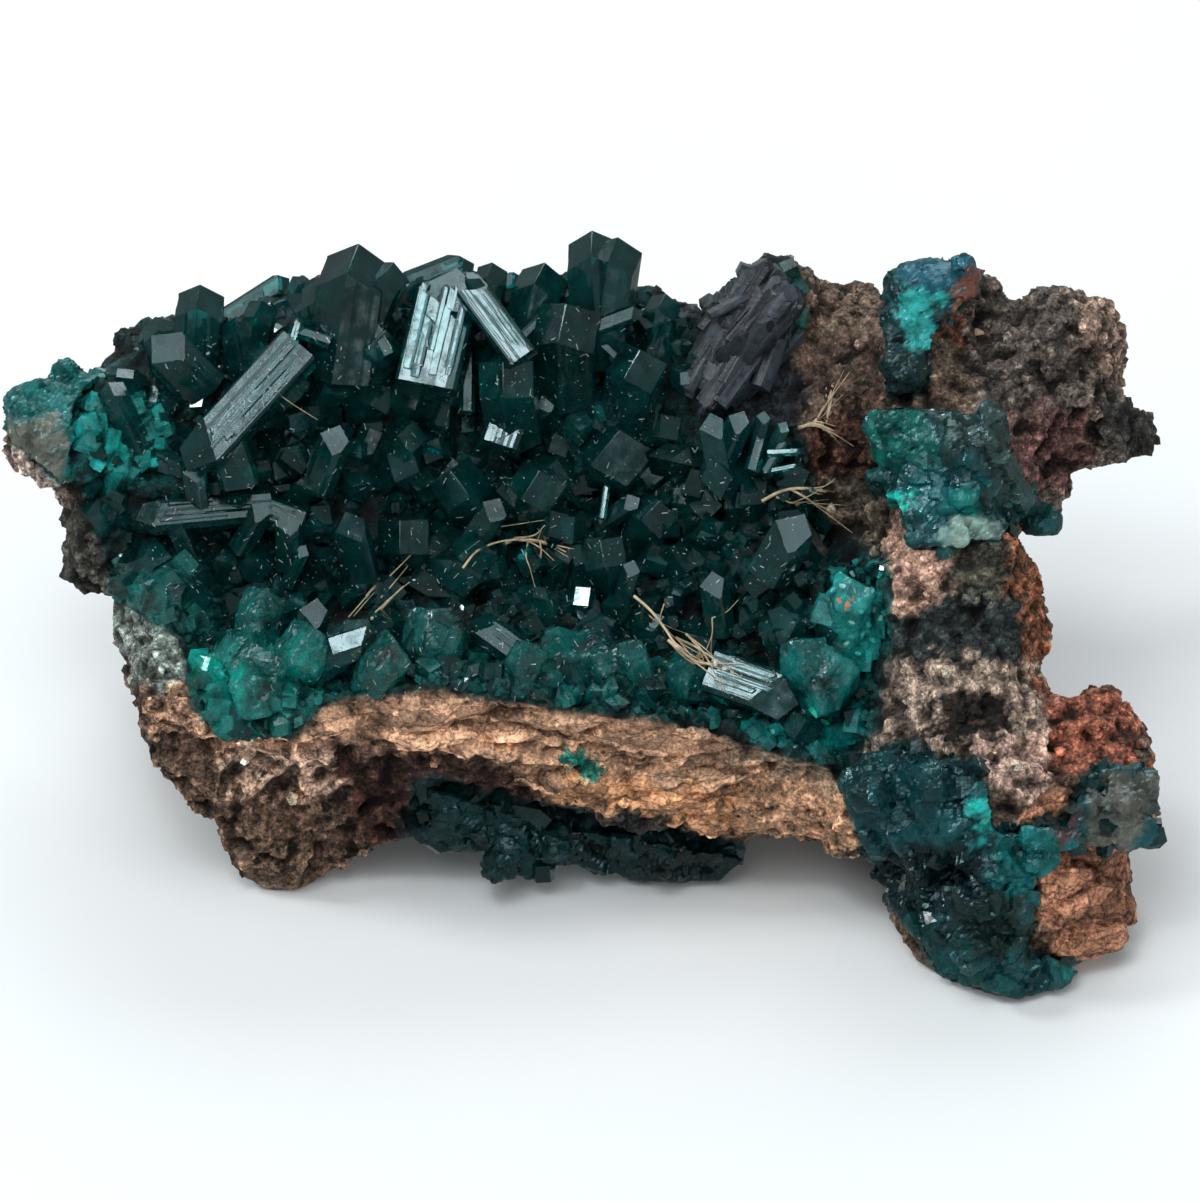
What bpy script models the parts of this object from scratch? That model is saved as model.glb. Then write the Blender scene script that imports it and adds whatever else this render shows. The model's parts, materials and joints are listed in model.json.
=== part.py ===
"""A hand specimen of dioptase: dark blue-green crystals lining a leaning hollow of brown rock.

The specimen is described as it is seen from the front, 40 degrees above the table. A place is a
column and a row of that view, counted in pixels from its upper left, and a height out of the view's
plane towards the eye, in millimetres. The rock is one body, fused from its stones, ledges and lobes.
Each crust of crystals is a body of its own that lies on the rock.
"""

import math
import random
from typing import NamedTuple

import bmesh
import bpy
from mathutils import Matrix, Vector, noise
from mathutils.bvhtree import BVHTree

MM = 0.001

# Driving dimensions
SPECIMEN_WIDTH = 93 * MM
VIEW_WIDTH_PX = 1162  # columns that the specimen takes in the view
VIEW_ELEVATION = math.radians(40)
LOWEST_ROW = 1016  # the row where the lower lobe meets the table

PIXEL = SPECIMEN_WIDTH / VIEW_WIDTH_PX
REST_POINT = Vector((46.5, 36, 0)) * MM  # the middle of the resting face, and the frame's origin

# The rock's surface
VOXEL = 0.9 * MM
ROCK_FACES = 2400
LUMP_SIZE, LUMP_HEIGHT = 7.0 * MM, 1.5 * MM
GRIT_SIZE, GRIT_HEIGHT = 2.4 * MM, 0.9 * MM

# The crusts of crystals
CRUST_GAP = 0.35 * MM  # between the rock and the underside of a crust
CRUST_TOP = 1.2 * MM  # from the rock's surface to the top of a crust, between its crystals
ROOT_DEPTH = 1.5 * MM  # how far a crystal starts below the rock's surface, before it is cut there
CAP_SLOPE = math.radians(51)  # from the crystal's axis to the normal of a rhombohedron face
STEM_PLACES = (0.45, 0.8)  # along a raised crystal, where smaller ones carry it
STEM_REACH = 9 * MM  # the longest of those
LONG_CRYSTAL = 7 * MM  # from this length on a raised crystal has both
LOW_RAISE = 1.6  # up to this many millimetres a raised crystal needs none

RIGHT = Vector((1, 0, 0))
UP = Vector((0, math.sin(VIEW_ELEVATION), math.cos(VIEW_ELEVATION)))
OUT = Vector((0, -math.cos(VIEW_ELEVATION), math.sin(VIEW_ELEVATION)))
VIEW_AXES = Matrix((RIGHT, UP, OUT)).transposed()


# The way that the brightest facets face, in the view's right, up and out
BRIGHT = (VIEW_AXES @ Vector((-0.12, 0.28, 0.95))).normalized()


def seen_at(col, row, out):
    """The point seen at this column and row, out millimetres towards the eye."""
    return RIGHT * col * PIXEL + UP * (LOWEST_ROW - row) * PIXEL + OUT * out * MM - REST_POINT


def above_table(x, y, z):
    """The point at x, y and z millimetres from the left end, the front and the table."""
    return Vector((x, y, z)) * MM - REST_POINT


# Shapes


def object_of(bm, name):
    """A new object in the scene that holds this mesh."""
    mesh = bpy.data.meshes.new(name)
    bm.to_mesh(mesh)
    bm.free()
    made = bpy.data.objects.new(name, mesh)
    bpy.context.collection.objects.link(made)
    return made


def applied(obj):
    """The object with its modifiers made part of its mesh."""
    bpy.context.view_layer.update()
    graph = bpy.context.evaluated_depsgraph_get()
    mesh = bpy.data.meshes.new_from_object(obj.evaluated_get(graph))
    obj.modifiers.clear()
    obj.data = mesh
    return obj


def stone(bm, centre, half, axes, squareness=2.6):
    """A rounded block about its centre, with half sizes in millimetres along the axes."""
    made = bmesh.ops.create_icosphere(bm, subdivisions=3, radius=1)["verts"]
    for vert in made:
        reach = sum(abs(c) ** squareness for c in vert.co) ** (1 / squareness)
        shaped = Vector(c / reach * size * MM for c, size in zip(vert.co, half))
        vert.co = centre + axes @ shaped


def slab(bm, outline, front, back):
    """A plate with this outline of (x, z) millimetres, standing from front to back along Y."""
    corners = [bm.verts.new(above_table(x, front, z)) for x, z in outline]
    face = bm.faces.new(corners)
    grown = bmesh.ops.extrude_face_region(bm, geom=[face])["geom"]
    moved = [v for v in grown if isinstance(v, bmesh.types.BMVert)]
    bmesh.ops.translate(bm, verts=moved, vec=Vector((0, back - front, 0)) * MM)


def add_boolean(obj, other, operation, solver="EXACT"):
    """A Boolean of the object with another, or with every object of a collection."""
    cut = obj.modifiers.new(operation.title(), "BOOLEAN")
    cut.operation = operation
    cut.solver = solver
    if solver == "EXACT":
        cut.use_self = True
    if isinstance(other, bpy.types.Collection):
        cut.operand_type = "COLLECTION"
        cut.collection = other
    else:
        cut.object = other


def add_remesh(obj):
    remesh = obj.modifiers.new("Remesh", "REMESH")
    remesh.mode = "VOXEL"
    remesh.voxel_size = VOXEL


# The rock


class Stone(NamedTuple):
    """A lump of rock: where the view shows its middle, its half sizes in millimetres across, up and
    out of the view, and how far it is turned in the view's plane, in degrees."""

    col: float
    row: float
    out: float
    half: tuple
    turn: float = 0


BED = [  # the leaning plate under the main crystals
    Stone(215, 470, -16, (11, 12, 9)),
    Stone(350, 465, -16.5, (13, 15, 10)),
    Stone(520, 480, -16.5, (14, 15.5, 10)),
    Stone(690, 510, -16, (13, 15, 10)),
    Stone(810, 560, -14, (8, 15, 10)),
    Stone(240, 370, -15, (8, 4, 6)),
    Stone(400, 335, -15.5, (12, 4, 6.5)),
    Stone(560, 335, -15.5, (11, 4, 6.5)),
]
LEFT_END = [
    Stone(48, 442, -10.5, (3.9, 4.1, 4.2)),
    Stone(115, 450, -12.5, (5.5, 5.4, 5.5)),
    Stone(108, 530, -12.5, (3.7, 3.8, 4)),
    Stone(78, 570, -13, (2.4, 2.2, 2.8)),
    Stone(170, 615, -9.5, (3.6, 4.9, 6)),
]
RIGHT_COLUMN = [
    Stone(950, 478, -9.5, (7.2, 6.2, 7.5)),
    Stone(962, 615, -6.5, (6.1, 8.6, 7.5)),
    Stone(952, 715, -5.5, (7.2, 5.4, 7.5)),
    Stone(870, 800, -6, (4.4, 4.3, 6)),
    Stone(1018, 640, -10, (1.5, 7.5, 6)),
]
DARK_SLAB = [
    Stone(736, 344, -12, (3.7, 7.2, 6), -32),
    Stone(776, 322, -12.5, (2.5, 4.6, 5), -12),
    Stone(806, 400, -15, (5, 6, 6), -20),
]
TOP_LOBES = [
    Stone(852, 395, -17, (5, 9.5, 7)),
    Stone(940, 306, -11.5, (4.3, 3.2, 4.4)),
    Stone(925, 372, -12, (4.8, 4.6, 6)),
    Stone(1058, 353, -13, (5.2, 4.5, 5.4)),
    Stone(1020, 405, -13, (6.2, 5.6, 6.5)),
    Stone(1095, 430, -14, (4.0, 2.9, 4.4)),
    Stone(1136, 438, -14.5, (1.7, 1.6, 2.4), -30),
    Stone(1022, 466, -13, (4.2, 3.2, 5.5), -30),
]
RED_EDGE = [
    Stone(1062, 735, -6, (3.4, 2.4, 4.4)),
    Stone(1098, 708, -6, (2.2, 2.3, 2.7)),
    Stone(1118, 748, -5.5, (2.0, 1.8, 3)),
]
LOWER_LOBE = [
    Stone(985, 806, -5.5, (9.5, 5.4, 8.5)),
    Stone(1097, 800, -4.5, (4.3, 4.0, 6)),
    Stone(990, 905, -8.5, (8.2, 5.4, 8.5)),
    Stone(1076, 890, -8, (3.9, 5.8, 6.5)),
    Stone(1010, 965, -7.5, (5.6, 3.6, 6.5)),
]
UPRIGHT_BASE = [  # middle and half sizes along X, Y and Z of the rock behind, down to the table
    ((24, 36, 9), (13, 13, 11)),
    ((46, 38, 9), (16, 14, 12)),
    ((68, 34, 9), (13, 12, 11)),
    ((80, 20, 5), (8.5, 10, 7)),
]
LEDGE_OUTLINE = [
    (14, 19.6), (20, 19.8), (28, 21.4), (36, 21.4), (44, 20.7), (50, 19.4), (56, 17.6),
    (62.4, 15.6), (67.6, 14), (67.4, 6.2), (62.4, 5.4), (56, 6.6), (50, 8.4), (44.4, 10.6),
    (42.6, 14.2), (36, 15.6), (28, 17.8), (20, 17), (14, 17.4),
]
FOOT_OUTLINE = [
    (11.4, 20.5), (10.7, 17.4), (11.4, 13.8), (13.6, 9.2), (16.8, 5.2), (20.2, 1.6), (22.4, -0.6),
    (25.6, -0.6), (27.6, 1.6), (30, 4.2), (33, 5.8), (37, 7), (40, 10), (41, 15), (30, 19),
]
UNDERSIDE_OUTLINE = [
    (31, 7), (35, 3.6), (41.6, 2.4), (48, 1.9), (50.2, 1.2), (51.6, -0.6), (54.6, -0.6),
    (57.4, 1.4), (59.4, 3.6), (67, 4.4), (68, 9), (56, 13), (44, 15), (34, 15),
]
LEDGE_FRONT, FOOT_FRONT, UNDERSIDE_FRONT, SLABS_BACK = 14.2, 15.8, 17.0, 34.0


def rock_stones():
    """Every stone, ledge and lobe of the rock in one mesh, each a closed body of its own."""
    bm = bmesh.new()
    for part in (BED, LEFT_END, RIGHT_COLUMN, DARK_SLAB, TOP_LOBES, RED_EDGE, LOWER_LOBE):
        for s in part:
            turned = VIEW_AXES @ Matrix.Rotation(math.radians(s.turn), 3, "Z")
            stone(bm, seen_at(s.col, s.row, s.out), s.half, turned)
    for middle, half in UPRIGHT_BASE:
        stone(bm, above_table(*middle), half, Matrix.Identity(3))
    slab(bm, LEDGE_OUTLINE, LEDGE_FRONT, SLABS_BACK)
    slab(bm, FOOT_OUTLINE, FOOT_FRONT, SLABS_BACK)
    slab(bm, UNDERSIDE_OUTLINE, UNDERSIDE_FRONT, SLABS_BACK)
    bmesh.ops.recalc_face_normals(bm, faces=bm.faces)
    return object_of(bm, "matrix")


def hollow():
    """The cutter for the open hollow that the main crystals line."""
    bm = bmesh.new()
    lean = Matrix.Rotation(math.radians(-10), 3, "X")
    stone(bm, seen_at(470, 478, 3), (33, 16.5, 13.5), VIEW_AXES @ lean, 2.3)
    stone(bm, seen_at(845, 470, -4), (3.6, 10, 7), VIEW_AXES, 2.2)
    return object_of(bm, "hollow_cutter")


def roughened(obj):
    """Moves the surface in and out by broad lumps and by grit."""
    bm = bmesh.new()
    bm.from_mesh(obj.data)
    bm.normal_update()
    moves = []
    for vert in bm.verts:
        lump = noise.fractal(vert.co / LUMP_SIZE, 1.0, 2.0, 3)
        grit = noise.ridged_multi_fractal(vert.co / GRIT_SIZE, 1.0, 2.0, 2, 1.0, 2.0) - 1
        moves.append(vert.normal * (lump * LUMP_HEIGHT + grit * GRIT_HEIGHT * 0.5))
    for vert, move in zip(bm.verts, moves):
        vert.co += move
    bm.to_mesh(obj.data)
    bm.free()


def below_table(height=0.0):
    """The cutter that levels a piece where it stands on the table, or that height above it."""
    bm = bmesh.new()
    bmesh.ops.create_cube(bm, size=1)
    bmesh.ops.scale(bm, verts=bm.verts, vec=Vector((200, 200, 40)) * MM)
    bmesh.ops.translate(bm, verts=bm.verts, vec=Vector((0, 0, -20 * MM + height)))
    return object_of(bm, "table_cutter")


def largest_body(obj):
    """Keeps the largest of the mesh's bodies, so that no chip floats free."""
    bm = bmesh.new()
    bm.from_mesh(obj.data)
    left, bodies = set(bm.verts), []
    while left:
        body, edge = set(), [left.pop()]
        while edge:
            vert = edge.pop()
            body.add(vert)
            near = [e.other_vert(vert) for e in vert.link_edges]
            edge += [v for v in near if v in left]
            left.difference_update(near)
        bodies.append(body)
    keep = max(bodies, key=len)
    bmesh.ops.delete(bm, geom=[v for v in bm.verts if v not in keep], context="VERTS")
    bm.to_mesh(obj.data)
    bm.free()


def rock():
    made = rock_stones()
    carve = hollow()
    add_remesh(made)
    add_boolean(made, carve, "DIFFERENCE")
    add_remesh(made)
    applied(made)
    bpy.data.objects.remove(carve)
    roughened(made)
    decimate = made.modifiers.new("Decimate", "DECIMATE")
    decimate.ratio = ROCK_FACES / (2 * len(made.data.polygons))
    table = below_table()
    add_boolean(made, table, "DIFFERENCE")
    made.modifiers.new("Triangulate", "TRIANGULATE")
    applied(made)
    bpy.data.objects.remove(table)
    largest_body(made)
    return made


# The crystals


class Crystal(NamedTuple):
    """A crystal: the column and row of its tip, the way it points in the view in degrees clockwise
    from up, how far it leans out of the view in degrees, its width and its length in columns, which
    of its faces is bright: cap, side or none, how many degrees that face is turned off the brightest
    way, how many millimetres the crystal is raised towards the eye, and the breadth that its sides
    are trimmed to, as a part of its width."""

    col: float
    row: float
    turn: float
    lean: float
    width: float
    length: float
    bright: str = "none"
    off: float = 0
    out: float = 0
    trim: float = 1


LARGE_CRYSTALS = [
    # the rim, from the left
    Crystal(108, 382, -25, 20, 34, 60),
    Crystal(155, 316, -12, 10, 38, 46),
    Crystal(152, 336, -48, 0, 58, 64, "cap", 2.5, 1.5, 0.9),
    Crystal(200, 284, 2, 20, 54, 80),
    Crystal(236, 316, -10, 20, 40, 50),
    Crystal(288, 277, 55, 0, 30, 70, "side", 8, 1, 0.7),
    Crystal(262, 300, 10, 30, 36, 60),
    Crystal(322, 276, -4, 15, 52, 60),
    Crystal(359, 243, 8, 14, 78, 120),
    Crystal(394, 262, 24, 20, 44, 90),
    Crystal(474, 263, 66, 0, 44, 52, "side", 13, 0, 0.8),
    Crystal(545, 262, 12, 15, 58, 76),
    Crystal(592, 230, -4, 16, 62, 120),
    Crystal(618, 237, 8, 22, 56, 112),
    Crystal(666, 293, 14, 20, 38, 50),
    # the striated group
    Crystal(457, 268, 11, 0, 112, 114, "side", 2.5, 3.5, 0.56),
    Crystal(492, 262, 6, 20, 36, 70, "none", 0, 0),
    Crystal(460, 276, -35, 0, 52, 92, "side", 2, 5.2, 0.6),
    Crystal(503, 362, -10, 50, 64, 92, "none", 0, 3),
    Crystal(532, 360, 17, 0, 62, 78, "side", 0, 4, 0.62),
    # the long prism and the flat ends beside it
    Crystal(188, 472, -140, 0, 78, 150, "side", 6, 3.5, 0.56),
    Crystal(215, 444, -140, 0, 40, 88, "side", 3, 4.2, 0.6),
    Crystal(221, 424, -20, 0, 48, 50, "cap", 6, 4, 0.8),
    Crystal(136, 520, -98, 0, 46, 118, "side", 15, 2, 0.7),
    Crystal(340, 425, 20, 0, 46, 56, "cap", 14, 1.5, 0.7),
    Crystal(193, 463, -6, 0, 30, 40, "cap", 5, 1.5, 0.86),
    Crystal(228, 498, -70, 0, 40, 60, "side", 12, 1.5, 0.8),
    Crystal(170, 512, -30, 0, 30, 40, "cap", 12, 1.5, 0.58),
    Crystal(268, 502, 36, 0, 34, 44, "cap", 6, 1.8, 0.62),
    Crystal(288, 512, 0, 0, 36, 44, "cap", 4, 1.6, 0.8),
    Crystal(346, 512, -20, 0, 48, 60, "cap", 14, 1.5, 0.7),
    # the middle
    Crystal(566, 304, 0, 42, 74, 100, "none", 0, 0.5),
    Crystal(558, 397, 70, 0, 34, 40, "cap", 16, 1.5, 0.86),
    Crystal(640, 350, 10, 48, 60, 90),
    Crystal(386, 330, 25, 45, 52, 80),
    Crystal(414, 420, 30, 30, 44, 60),
    Crystal(300, 400, 130, 40, 48, 80),
    Crystal(350, 360, -20, 50, 50, 60),
    Crystal(620, 430, 10, 60, 80, 60),
    Crystal(450, 470, -30, 50, 60, 60),
    Crystal(540, 470, 10, 55, 60, 60),
    Crystal(400, 520, -10, 50, 60, 60),
    Crystal(480, 540, 20, 60, 50, 50),
    Crystal(600, 540, -14, 50, 50, 60),
    Crystal(660, 500, 24, 40, 50, 60),
    Crystal(710, 413, -14, 0, 42, 50, "cap", 9, 1.5, 0.58),
    Crystal(744, 411, 25, 0, 36, 44, "cap", 9, 1.5, 0.62),
    Crystal(640, 498, 60, 0, 28, 36, "cap", 17, 1.5, 0.7),
    Crystal(712, 571, -8, 0, 42, 50, "cap", 5, 1.5, 0.58),
    Crystal(804, 514, 30, 0, 62, 60, "cap", 17, 1.5, 0.62),
    Crystal(778, 512, -50, 0, 44, 50, "cap", 17, 1.2, 0.8),
    Crystal(800, 545, 60, 0, 50, 50, "cap", 13, 0.5, 0.94),
    Crystal(500, 498, 30, 0, 38, 46, "cap", 24, 1, 0.86),
    # the lower rim
    Crystal(370, 627, 66, 0, 54, 54, "cap", 0, 4.2, 0.8),
    Crystal(471, 620, -52, 0, 44, 60, "side", 7, 2, 0.8),
    Crystal(318, 598, 10, 0, 44, 50, "cap", 16, 1, 0.62),
    Crystal(434, 606, 0, 40, 70, 60, "none", 0, 1.5),
    Crystal(266, 586, 10, 30, 54, 60, "none", 0, 1),
    Crystal(316, 628, 20, 50, 66, 60, "none", 0, 1.5),
    Crystal(396, 640, 30, 50, 54, 60, "none", 0, 1),
    Crystal(798, 704, 112, 0, 74, 76, "side", 1.5, 3, 0.6),
    Crystal(690, 704, 175, 55, 50, 60),
    Crystal(800, 640, -12, 52, 60, 80),
    Crystal(838, 652, 14, 52, 56, 80),
    Crystal(822, 716, 170, 50, 50, 70),
    Crystal(852, 578, 10, 50, 54, 70),
    Crystal(225, 664, -120, 55, 54, 66, "none", 0, 1),
    Crystal(262, 716, 172, 52, 60, 66, "none", 0, 1),
    Crystal(560, 684, 180, 58, 46, 60),
    Crystal(604, 676, 160, 58, 40, 56),
    Crystal(368, 686, 176, 58, 50, 60),
    Crystal(530, 640, 10, 40, 46, 50),
    Crystal(620, 640, -20, 40, 46, 50),
]


FRONT = Vector((math.cos(math.radians(30)), -0.5, 0))  # of a crystal along Z, out of its bright side
ACROSS = Vector((0.5, math.cos(math.radians(30)), 0))  # along that side
FLATNESS = 0.65  # of a trimmed crystal, from front to back


def cut_off(bm, point, normal):
    """Cuts away what lies beyond a plane, and closes the cut."""
    geom = bm.verts[:] + bm.edges[:] + bm.faces[:]
    cut = bmesh.ops.bisect_plane(bm, geom=geom, plane_co=point, plane_no=normal, clear_outer=True)
    rim = [e for e in cut["geom_cut"] if isinstance(e, bmesh.types.BMEdge)]
    bmesh.ops.edgeloop_fill(bm, edges=rim)


def crystal(root, axis, edge, radius, length, trim=1):
    """A six-sided prism with three cap faces, each above every other edge of the prism. A trim below
    1 narrows and flattens it about its front face."""
    bm = bmesh.new()
    bmesh.ops.create_cone(bm, cap_ends=True, segments=6, radius1=radius, radius2=radius, depth=length)
    bmesh.ops.translate(bm, verts=bm.verts, vec=(0, 0, length / 2))
    bmesh.ops.rotate(bm, verts=bm.verts, matrix=Matrix.Rotation(math.radians(30), 3, "Z"))
    for third in range(3):
        around = math.radians(120 * third)
        slope = math.sin(CAP_SLOPE)
        normal = Vector((slope * math.cos(around), slope * math.sin(around), math.cos(CAP_SLOPE)))
        cut_off(bm, (0, 0, length), normal)
    if trim < 1:
        cut_off(bm, ACROSS * radius * trim, ACROSS)
        cut_off(bm, ACROSS * -radius * trim, -ACROSS)
        turned = Matrix((FRONT, ACROSS, Vector((0, 0, 1)))).to_4x4()
        bmesh.ops.scale(bm, vec=(FLATNESS, 1, 1), space=turned, verts=bm.verts)
    bmesh.ops.recalc_face_normals(bm, faces=bm.faces)
    across = (edge - axis * edge.dot(axis)).normalized()
    turned = Matrix((across, axis.cross(across), axis)).transposed()
    bmesh.ops.transform(bm, verts=bm.verts, matrix=Matrix.Translation(root) @ turned.to_4x4())
    return bm


def pointing(turn, lean=0.0):
    """The way in space that points turn degrees clockwise from up and lean degrees out of the view."""
    turn, lean = math.radians(turn), math.radians(lean)
    flat = math.cos(lean)
    return VIEW_AXES @ Vector((math.sin(turn) * flat, math.cos(turn) * flat, math.sin(lean)))


def turned_away(axis, first):
    """The way to a prism edge for which no face of the crystal looks straight to the light."""
    found = []
    for step in range(24):
        edge = Matrix.Rotation(math.radians(first + 5 * step), 3, axis) @ axis.orthogonal().normalized()
        around = [Matrix.Rotation(math.radians(30 * k), 3, axis) @ edge for k in range(12)]
        faces = [axis * math.cos(CAP_SLOPE) + way * math.sin(CAP_SLOPE) for way in around[::4]]
        found.append((max(face.dot(BRIGHT) for face in faces + around[1::2]), edge))
    return min(found, key=lambda pair: pair[0])[1]


def stance(c):
    """The axis of a crystal, and the way from the axis to the prism edge below its first cap face."""
    shine = Matrix.Rotation(math.radians(c.off), 3, UP) @ BRIGHT
    flat = pointing(c.turn)
    level = (flat - shine * flat.dot(shine)).normalized()
    if c.bright == "cap":
        axis = shine * math.cos(CAP_SLOPE) + level * math.sin(CAP_SLOPE)
        return axis, (shine - axis * math.cos(CAP_SLOPE)).normalized()
    if c.bright == "side":
        return level, Matrix.Rotation(math.radians(30), 3, level) @ shine
    axis = pointing(c.turn, c.lean)
    return axis, turned_away(axis, c.col * 7)


def rooted(tree, c):
    """The crystal's mesh, standing on the rock where its axis meets it, and where it is raised, the
    stems that carry it."""
    axis, edge = stance(c)
    length = c.length * PIXEL
    radius = c.width * PIXEL / 2
    foot = seen_at(c.col, c.row, 60) - axis * length
    hit = tree.ray_cast(foot, -OUT)[0]
    if hit is None:
        return []
    root = hit + OUT * c.out * MM - axis * ROOT_DEPTH
    found = [crystal(root, axis, edge, radius, length + ROOT_DEPTH, c.trim)]
    stems = STEM_PLACES if length > LONG_CRYSTAL else STEM_PLACES[:1]
    for share in stems if c.out > LOW_RAISE else ():
        middle = root + axis * (length + ROOT_DEPTH) * share
        below = tree.ray_cast(middle, -OUT)[0]
        if below is not None and (middle - below).length < STEM_REACH:
            start = below - OUT * ROOT_DEPTH
            breadth = radius * c.trim * 0.8
            found.append(crystal(start, OUT, edge, breadth, (middle - start).length))
    return found


def inside(col, row, outline):
    """Whether the place lies inside the outline."""
    crossed = False
    for (ax, ay), (bx, by) in zip(outline, outline[1:] + outline[:1]):
        if (ay > row) != (by > row) and col < (bx - ax) * (row - ay) / (by - ay) + ax:
            crossed = not crossed
    return crossed


def filling(tree, outline, taken, step, seed):
    """Smaller crystals over the rest of a crust, one to each step of its outline."""
    chance = random.Random(seed)
    cols, rows = [c for c, _ in outline], [r for _, r in outline]
    found = []
    row = min(rows)
    while row < max(rows):
        col = min(cols)
        while col < max(cols):
            drift = (chance.uniform(-0.4, 0.4) * step, chance.uniform(-0.4, 0.4) * step)
            at = Vector((col + drift[0], row + drift[1]))
            col += step
            near = min(((at - Vector(other)).length for other in taken), default=step)
            if near < 0.7 * step or not inside(at.x, at.y, outline):
                continue
            hit, normal = tree.ray_cast(seen_at(at.x, at.y, 60), -OUT)[:2]
            if hit is None:
                continue
            stray = Vector((chance.uniform(-1, 1), chance.uniform(-1, 1), chance.uniform(-1, 1)))
            axis = (normal + OUT * 0.3 + stray * 0.55).normalized()
            width = chance.uniform(0.55, 0.95) * step * PIXEL
            length = width * chance.uniform(0.9, 1.5) + ROOT_DEPTH
            found.append(crystal(hit - axis * ROOT_DEPTH, axis, stray.cross(axis), width / 2, length))
        row += step
    return found


# The crusts

MAIN_OUTLINE = [
    (88, 402), (150, 338), (240, 300), (400, 272), (640, 285), (692, 322), (690, 430), (800, 436),
    (826, 520), (884, 566), (886, 640), (862, 735), (830, 765), (700, 722), (560, 706), (440, 684),
    (330, 700), (290, 740), (236, 735), (196, 700), (190, 640), (120, 600), (108, 545), (92, 500),
]
LEFT_CAP_OUTLINE = [(0, 380), (100, 374), (74, 402), (70, 486), (10, 440)]
KNOB_OUTLINE = [(885, 262), (940, 258), (985, 270), (975, 296), (935, 325), (918, 392), (885, 396)]
PATCH_OUTLINE = [(868, 420), (900, 405), (960, 412), (1000, 440), (1035, 500), (1000, 540), (910, 545)]
LOWER_OUTLINE = [
    (838, 770), (900, 745), (975, 770), (992, 830), (1060, 828), (1095, 765), (1148, 765),
    (1152, 842), (1034, 852), (1024, 955), (1085, 972), (1060, 1012), (940, 975), (872, 870),
]
UNDER_LEDGE_OUTLINE = [
    (430, 790), (540, 824), (660, 844), (745, 858), (765, 880), (700, 910), (600, 900), (420, 864),
]


def grown(rock_body, by, name):
    """A copy of the rock with its surface moved out."""
    bm = bmesh.new()
    bm.from_mesh(rock_body.data)
    bm.normal_update()
    moves = [vert.normal * by for vert in bm.verts]
    for vert, move in zip(bm.verts, moves):
        vert.co += move
    return object_of(bm, name)


def column_of(outline, low, high):
    """The space behind an outline of the view, between two heights out of it."""
    bm = bmesh.new()
    corners = [bm.verts.new(seen_at(c, r, low)) for c, r in outline]
    face = bm.faces.new(corners)
    raised = bmesh.ops.extrude_face_region(bm, geom=[face])["geom"]
    moved = [v for v in raised if isinstance(v, bmesh.types.BMVert)]
    bmesh.ops.translate(bm, verts=moved, vec=OUT * (high - low) * MM)
    bmesh.ops.recalc_face_normals(bm, faces=bm.faces)
    return object_of(bm, "outline_cutter")


def crust(rock_body, name, outline, heroes, step, seed, depth):
    """A crust on the rock inside an outline, with its named crystals and smaller ones between."""
    tree = BVHTree.FromObject(rock_body, bpy.context.evaluated_depsgraph_get())
    parts = [part for c in heroes for part in rooted(tree, c)]
    taken = [foot_of(c) for c in heroes]
    parts += filling(tree, outline, taken, step, seed)
    crystals = bpy.data.collections.new("crystals")
    for bm in parts:
        grain = object_of(bm, "crystal")
        bpy.context.collection.objects.unlink(grain)
        crystals.objects.link(grain)
    bpy.context.scene.collection.children.link(crystals)
    made = grown(rock_body, CRUST_TOP, name)
    column = column_of(outline, depth, 40)
    below = grown(rock_body, CRUST_GAP, "rock_cutter")
    table = below_table(CRUST_GAP)
    add_boolean(made, column, "INTERSECT", "MANIFOLD")
    add_boolean(made, crystals, "UNION", "MANIFOLD")
    add_boolean(made, below, "DIFFERENCE", "MANIFOLD")
    add_boolean(made, table, "DIFFERENCE", "MANIFOLD")
    made.modifiers.new("Triangulate", "TRIANGULATE")
    applied(made)
    for helper in (*crystals.objects, column, below, table):
        bpy.data.objects.remove(helper)
    bpy.data.collections.remove(crystals)
    largest_body(made)
    return made


def foot_of(c):
    """The column and row below a crystal's middle."""
    axis = stance(c)[0]
    back = c.length * 0.5
    return c.col - axis.dot(RIGHT) * back, c.row + axis.dot(UP) * back


# The pieces


def finish(name, colour, roughness, clear=0.0):
    made = bpy.data.materials.new(name)
    made.use_nodes = True
    shader = made.node_tree.nodes["Principled BSDF"]
    shader.inputs["Base Color"].default_value = (*colour, 1)
    shader.inputs["Roughness"].default_value = roughness
    shader.inputs["Transmission Weight"].default_value = clear
    made.diffuse_color = (*colour, 1)
    return made


def dressed(obj, material):
    """Gives the whole of the object one material."""
    obj.data.materials.clear()
    obj.data.materials.append(material)
    for face in obj.data.polygons:
        face.material_index = 0


def matrix():
    """The brown host rock, with its ledge, foot, lobes and the hollow that holds the crystals."""
    made = rock()
    dressed(made, finish("brown_rock", (0.28, 0.17, 0.11), 0.9))
    return made


def main_druse(rock_body):
    """The dark crystals of the hollow and its rim."""
    made = crust(rock_body, "main_druse", MAIN_OUTLINE, LARGE_CRYSTALS, 92, 4, -15.5)
    dressed(made, finish("dark_dioptase", (0.006, 0.055, 0.055), 0.12, 0.5))


def left_cap(rock_body):
    """The teal cap of the knob at the left end."""
    made = crust(rock_body, "left_cap", LEFT_CAP_OUTLINE, [], 36, 5, -16)
    dressed(made, finish("teal_cap", (0.01, 0.16, 0.16), 0.35, 0.3))


def knob_patch(rock_body):
    """The blue-green crust on the knob at the upper right."""
    made = crust(rock_body, "knob_patch", KNOB_OUTLINE, [], 36, 6, -16)
    dressed(made, finish("blue_green_crust", (0.012, 0.15, 0.17), 0.4, 0.2))


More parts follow.
